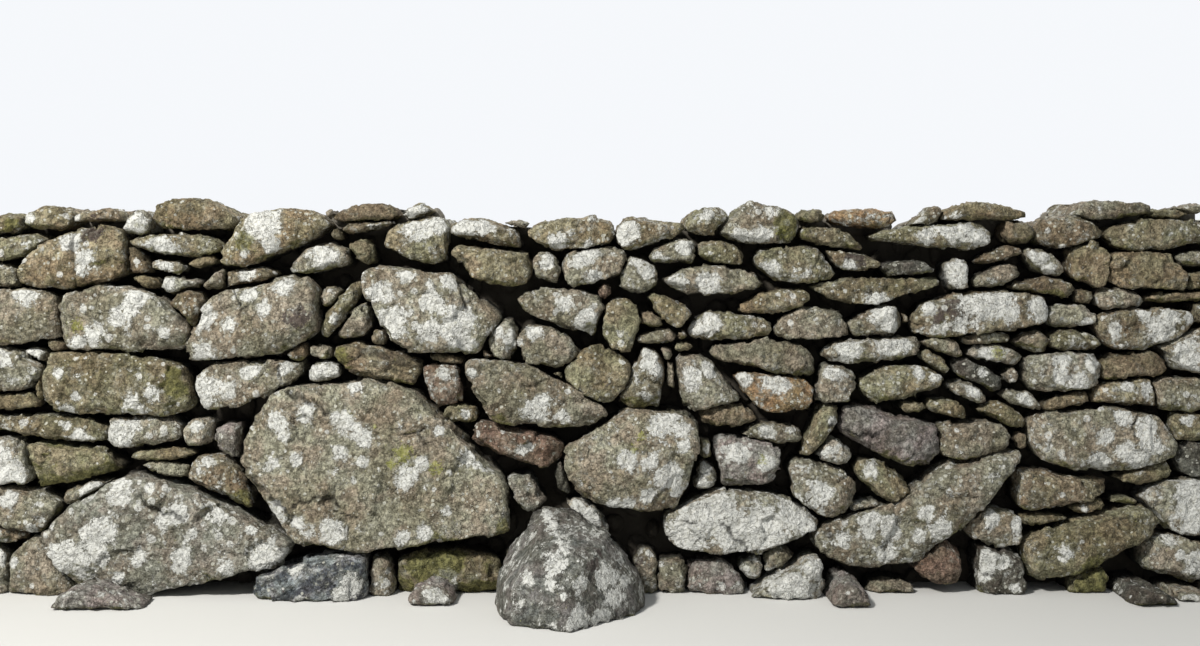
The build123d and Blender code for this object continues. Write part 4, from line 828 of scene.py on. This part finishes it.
# The bands of smaller face stones, from the ground to the top stones, with the pinnings wedged between
# them. The same granite, gathered by size: laid dry, each on the ones below, the gaps left open.
BAND_LOOKS = {
    "front_footings": "violet/patched blue/spotted/rising grey/patched violet/patched pale/white"
    " violet/spotted dark/spotted grey/patched",
    "front_base_stones": "grey/patched grey/spotted olive/mossy grey/spotted grey/patched grey/spotted"
    " violet/patched pale/white grey/spotted grey/bare red/bare dark/patched olive/mossy grey/patched"
    " grey/spotted",
    "front_lower_stones": "brown/patched grey/patched grey/patched olive/mossy grey/patched"
    " brown/patched violet/spotted ash/patched dark/bare pale/white grey/white olive/bare violet/patched"
    " grey/patched pale/white olive/spotted grey/patched brown/bare olive/bare brown/spotted buff/bare"
    " olive/bare olive/bare grey/white dark/spotted",
    "front_middle_stones": "olive/bare grey/patched grey/patched olive/bare brown/bare olive/patched"
    " grey/patched olive/bare grey/bare pale/patched grey/patched brown/spotted grey/spotted pale/white"
    " brown/spotted/falling red/patched brown/bare olive/spotted brown/bare red/spotted brown/bare"
    " olive/spotted brown/patched grey/bare grey/bare olive/bare grey/patched brown/bare grey/bare"
    " grey/patched rust/patched olive/spotted pale/white pale/patched grey/patched olive/patched"
    " olive/bare olive/spotted grey/spotted olive/spotted grey/patched grey/spotted dark/spotted"
    " grey/patched pale/patched olive/spotted grey/spotted pale/patched pale/patched buff/spotted"
    " buff/patched brown/bare grey/patched grey/patched olive/spotted",
    "front_upper_stones": "grey/patched grey/spotted grey/patched brown/spotted olive/bare grey/patched"
    " pale/patched brown/spotted olive/bare grey/spotted brown/patched grey/spotted grey/patched"
    " grey/patched olive/spotted grey/spotted brown/bare grey/patched buff/spotted pale/patched"
    " grey/spotted grey/patched grey/patched grey/patched red/bare olive/spotted grey/patched brown/bare"
    " grey/spotted olive/spotted grey/patched brown/bare grey/spotted olive/spotted olive/patched"
    " buff/spotted olive/patched grey/spotted brown/patched olive/spotted grey/patched dark/patched"
    " brown/bare pale/white brown/patched grey/spotted brown/patched grey/spotted grey/patched"
    " brown/spotted pale/patched olive/patched brown/spotted buff/spotted pale/patched brown/patched"
    " buff/bare buff/bare olive/patched grey/patched brown/spotted",
    "front_crest_stones": "olive/spotted olive/patched buff/patched brown/patched pale/white"
    " olive/patched buff/spotted buff/patched grey/bare brown/bare olive/bare brown/patched brown/bare"
    " buff/patched olive/patched buff/patched grey/patched buff/patched buff/patched olive/patched"
    " grey/patched olive/bare olive/spotted rust/patched brown/patched olive/patched buff/bare"
    " brown/bare brown/patched grey/spotted olive/spotted olive/bare grey/spotted",
}
BAND_SEED = 200

# The footings stand out from the foot, and are broken all round.
FOOTING_BREAKS = {"facets": 12, "turn": -0.2}
for order, (node, looks) in enumerate(BAND_LOOKS.items()):
    broken_round = FOOTING_BREAKS if node == "front_footings" else {}
    stone_piece(node, FRONT, looks.split(), random.Random(BAND_SEED + order), **broken_round)

# The boulder that leans against the foot of the wall: a granite boulder fallen or rolled there, blunt
# at its peak, dark and streaked with slanting white crusts. It stands on the ground by its own weight.
LEANING_SEED = 300
STREAKED = lichened_granite(
    "streaked_granite", streaks=2.6, streak_angle=28, crust_scale=11.0, tufted=0.8, filmed=0.3
)

# The way each of its broken faces looks, and how far out it lies, as a share of the hull.
LEANING_FACES = (
    ((-0.40, -0.91, 0.12), 0.80), ((0.70, -0.68, 0.22), 0.68), ((-0.88, -0.20, 0.42), 0.80),
    ((0.45, -0.35, 0.82), 0.80), ((-0.15, -0.50, 0.85), 0.86),
)
stone_piece("leaning_boulder", FRONT, ["slate/streaked"], random.Random(LEANING_SEED), cell=BOULDER_CELL,
            recessed=False, facets=0, squareness=(0, 0), material=STREAKED, breaks=LEANING_FACES,
            lump_depth=0.03, dint_depth=0.016, break_slope=0.06)

# The hearting: rubble packed into the middle of the wall as it rises. It shows as angular stones at
# the back of the open joints, coloured near black there as painted shade, and weathered grey between the top
# stones. Here they lie on a closed core.
# painted shade: the rubble's colour deep in the joints is near black for the shade there
SHADED_RUBBLE = (0.022, 0.019, 0.015), (0.085, 0.075, 0.06)
WEATHERED_RUBBLE = (0.08, 0.074, 0.06), (0.26, 0.24, 0.20)

# Near its top the rubble gets smaller over the first height, and goes from its painted shade to its weathered
# grey over the second.
HEARTING_TOP = 1.42
SMALLER_OVER, SHADE_FADES_OVER = 0.06, 0.05
TOP_RUBBLE_SIZE = 0.6
NOT_BELOW = -0.5


def dark_rubble():
    """The same granite, painted near black as shade where it lies out of the light, and weathered grey where
    it comes out on top.
    """
    material, tree = bare_material("dark_rubble")
    place = add_node(tree, "ShaderNodeTexCoord").outputs["Object"]
    stain = add_cloud(tree, place, 14, 5)
    in_light = add_ramp(tree, split(tree, place)[2], HEARTING_TOP, HEARTING_TOP + SHADE_FADES_OVER)
    # the rubble's painted shade below, and its weathered grey above, blended by height
    dark, weathered = (add_blend(tree, stain, *colours) for colours in (SHADED_RUBBLE, WEATHERED_RUBBLE))
    pits = add_cloud(tree, place, 60, 4)
    relief = add_node(tree, "ShaderNodeBump", {"Height": pits, "Strength": 0.7, "Distance": 0.006})
    shader = add_node(tree, "ShaderNodeBsdfPrincipled", {
        "Base Color": add_blend(tree, in_light, dark, weathered), "Roughness": 0.95,
        "Specular IOR Level": 0.2, "Normal": relief.outputs[0],
    })
    add_node(tree, "ShaderNodeOutputMaterial", {"Surface": shader.outputs[0]})
    return material


def rubble_tree():
    """Small angular stones scattered over the sides and top of the core, each turned its own way, and
    smaller on top, so that they stay below the top stones."""
    tree, start = new_tree("rubble_packing", {
        "Stones Apart": 0.075, "Stones per Square Metre": 240.0, "Stone Size": 0.048, "Roughness": 0.022,
        "Seed": 7,
    })
    vector = partial(add_vector, tree)

    def odd(low, high, seed):
        span = {0: low, 1: high, "Seed": seed}
        return add_node(tree, "FunctionNodeRandomValue", span, data_type="FLOAT_VECTOR").outputs[0]

    upward = split(tree, add_node(tree, "GeometryNodeInputNormal").outputs[0])[2]
    spread = add_node(
        tree, "GeometryNodeDistributePointsOnFaces",
        {"Mesh": start["Geometry"], "Selection": add_maths(tree, "GREATER_THAN", upward, NOT_BELOW),
         "Distance Min": start["Stones Apart"], "Density Max": start["Stones per Square Metre"],
         "Seed": start["Seed"]},
        distribute_method="POISSON",
    ).outputs["Points"]
    stone = add_node(tree, "GeometryNodeMeshIcoSphere", {"Radius": 1.0, "Subdivisions": 2}).outputs[0]
    place = add_node(tree, "GeometryNodeInputPosition").outputs[0]
    up = split(tree, place)[2]
    smaller = add_ramp(tree, up, HEARTING_TOP - SMALLER_OVER, HEARTING_TOP, 1.0, TOP_RUBBLE_SIZE)
    scale = add_maths(tree, "MULTIPLY", start["Stone Size"], smaller)
    laying = {
        "Points": spread, "Instance": stone, "Rotation": odd((0, 0, 0), (math.tau, math.tau, math.tau), 11),
        "Scale": vector("SCALE", odd((0.8, 0.6, 0.5), (1.35, 1.05, 0.85), 12), scale),
    }
    laid = add_node(tree, "GeometryNodeInstanceOnPoints", laying).outputs[0]
    real = add_node(tree, "GeometryNodeRealizeInstances", {0: laid}).outputs[0]
    field = vector("SUBTRACT", add_cloud(tree, place, 21, 2, output="Color"), (0.5, 0.5, 0.5))
    moving = {"Geometry": real, "Offset": vector("SCALE", field, start["Roughness"])}
    joined = add_node(tree, "GeometryNodeJoinGeometry")
    tree.links.new(add_node(tree, "GeometryNodeSetPosition", moving).outputs[0], joined.inputs[0])
    tree.links.new(start["Geometry"], joined.inputs[0])
    end_tree(tree, joined.outputs[0], start["Material"])
    return tree


core = merged_copy("hearting")
core_mesh = bpy.data.meshes.new("hearting_rubble")
core.to_mesh(core_mesh)
core.free()
hearting = placed("hearting_rubble", core_mesh)
run_tree(hearting, rubble_tree(), material=dark_rubble())
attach(hearting, "root")
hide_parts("hearting")

# The back face: the same granite, weathered alike and laid dry from the other side of the wall in the same
# courses, with fewer and plainer stones. Its stones also run into the wall and are held by their weight.
BACK = 180
BACK_SEED = 400
COARSE = 0.016
COMMON_LOOKS = (
    "grey/patched", "grey/spotted", "grey/patched", "olive/spotted", "olive/patched", "brown/spotted",
    "brown/patched", "pale/patched", "pale/white", "buff/spotted", "dark/spotted", "grey/bare", "grey/white",
)
BACK_NODES = (
    "back_large_boulders", "back_base_stones", "back_lower_stones", "back_middle_stones", "back_upper_stones",
    "back_crest_stones",
)
for order, node in enumerate(BACK_NODES):
    chance = random.Random(BACK_SEED + order)
    stone_piece(node, BACK, [chance.choice(COMMON_LOOKS) for _ in stones_of(node)], chance, cell=COARSE)

# The two built ends, which hold the faces together where the wall stops: squared granite blocks, pairs of
# them and single stones through the whole thickness laid in turn, each on the joints of the one below.
END_SEED = 500
END_CHIPS = 3
END_CHIP_DEPTH = 0.06
END_SQUARENESS = (9, 12)
END_NODES = {
    "left_end_pairs": LEFT, "left_end_through_stones": LEFT, "right_end_pairs": RIGHT,
    "right_end_through_stones": RIGHT,
}
for order, (node, toward) in enumerate(END_NODES.items()):
    chance = random.Random(END_SEED + order)
    looks = [chance.choice(COMMON_LOOKS) for _ in stones_of(node)]
    stone_piece(node, toward, looks, chance, cell=COARSE, recessed=False, facets=END_CHIPS,
                chip=END_CHIP_DEPTH, squareness=END_SQUARENESS)

# The studio: a pale floor that keeps the wall's shadow and fades into a pale backdrop, a small key lamp
# high on the left, a softer one behind the wall, and an even light from all round that fills the shadows.
BACKDROP = (0.92, 0.94, 0.97, 1)
FLOOR = (0.62, 0.62, 0.60, 1)
FLOOR_REACH = 20
FADES_FROM, FADES_TO = 4.0, 9.0
ALL_ROUND = (0.90, 0.95, 1.0, 1)
ALL_ROUND_STRENGTH = 0.36
LIT_POINT = (0, 0, 0.6)
floor_mesh = bpy.data.meshes.new("floor")
floor_corners = [(x * FLOOR_REACH, y * FLOOR_REACH, 0) for x, y in ((-1, -1), (1, -1), (1, 1), (-1, 1))]
floor_mesh.from_pydata(floor_corners, [], [(0, 1, 2, 3)])
floor = placed("floor", floor_mesh)
pale, tree = bare_material("pale_floor")
plain = add_node(tree, "ShaderNodeBsdfPrincipled", {"Base Color": FLOOR, "Roughness": 0.9})
backdrop = add_node(tree, "ShaderNodeEmission", {"Color": BACKDROP, "Strength": 1.0})
from_wall = add_vector(tree, "LENGTH", add_node(tree, "ShaderNodeTexCoord").outputs["Object"])
far = add_ramp(tree, from_wall, FADES_FROM, FADES_TO, shape="SMOOTHSTEP")
rays = add_node(tree, "ShaderNodeLightPath").outputs
faded = add_maths(tree, "MULTIPLY", far, rays["Is Camera Ray"])
shown = add_node(tree, "ShaderNodeMixShader", {0: faded, 1: plain.outputs[0], 2: backdrop.outputs[0]})
add_node(tree, "ShaderNodeOutputMaterial", {"Surface": shown.outputs[0]})
floor_mesh.materials.append(pale)

world = bpy.data.worlds.new("studio")
bpy.context.scene.world = world
world.use_nodes = True
tree = world.node_tree
tree.nodes.clear()
rays = add_node(tree, "ShaderNodeLightPath").outputs
seen = add_maths(tree, "MAXIMUM", rays["Is Camera Ray"], rays["Is Glossy Ray"])
seen = add_maths(tree, "MAXIMUM", seen, rays["Is Transmission Ray"])
soft = add_node(tree, "ShaderNodeBackground", {"Color": ALL_ROUND, "Strength": ALL_ROUND_STRENGTH})
clear = add_node(tree, "ShaderNodeBackground", {"Color": BACKDROP, "Strength": 1.0})
mixed = add_node(tree, "ShaderNodeMixShader", {0: seen, 1: soft.outputs[0], 2: clear.outputs[0]})
add_node(tree, "ShaderNodeOutputWorld", {"Surface": mixed.outputs[0]})


def lamp(name, place, size, power, colour):
    data = bpy.data.lights.new(name, "AREA")
    data.shape = "DISK"
    data.size = size
    data.energy = power
    data.color = colour
    made = placed(name, data)
    made.location = place
    direction = Vector(LIT_POINT) - Vector(place)
    made.rotation_euler = direction.to_track_quat("-Z", "Y").to_euler()


lamp("key", place=(-5.0, -6.5, 7.5), size=1.3, power=1400, colour=(1.0, 0.97, 0.92))
lamp("rear", place=(5.0, 6.5, 6.0), size=3.0, power=600, colour=(1.0, 0.98, 0.95))

# The camera stands where the photograph was taken from: 5.75 m from the face, at 1.35 m, looking slightly
# down. 4.8 m of the face fill the picture's width, and its middle is 1.07 m up.
CAMERA_HEIGHT = 1.35
CAMERA_DISTANCE = 5.75
SENSOR_WIDTH = 36
SEEN_WIDTH = 4.8
SEEN_MIDDLE_HEIGHT = 1.068
FACE_AT_MIDDLE = HEARTING_HALF + FACE_DEPTH - LEAN * SEEN_MIDDLE_HEIGHT
data = bpy.data.cameras.new("camera")
data.sensor_width = SENSOR_WIDTH
data.lens = SENSOR_WIDTH * CAMERA_DISTANCE / SEEN_WIDTH
camera = placed("camera", data)
camera.location = (0, -(FACE_AT_MIDDLE + CAMERA_DISTANCE), CAMERA_HEIGHT)
tilt = math.atan((CAMERA_HEIGHT - SEEN_MIDDLE_HEIGHT) / CAMERA_DISTANCE)
camera.rotation_euler = (math.pi / 2 - tilt, 0, 0)
bpy.context.scene.camera = camera
bpy.context.scene.view_settings.view_transform = "Standard"
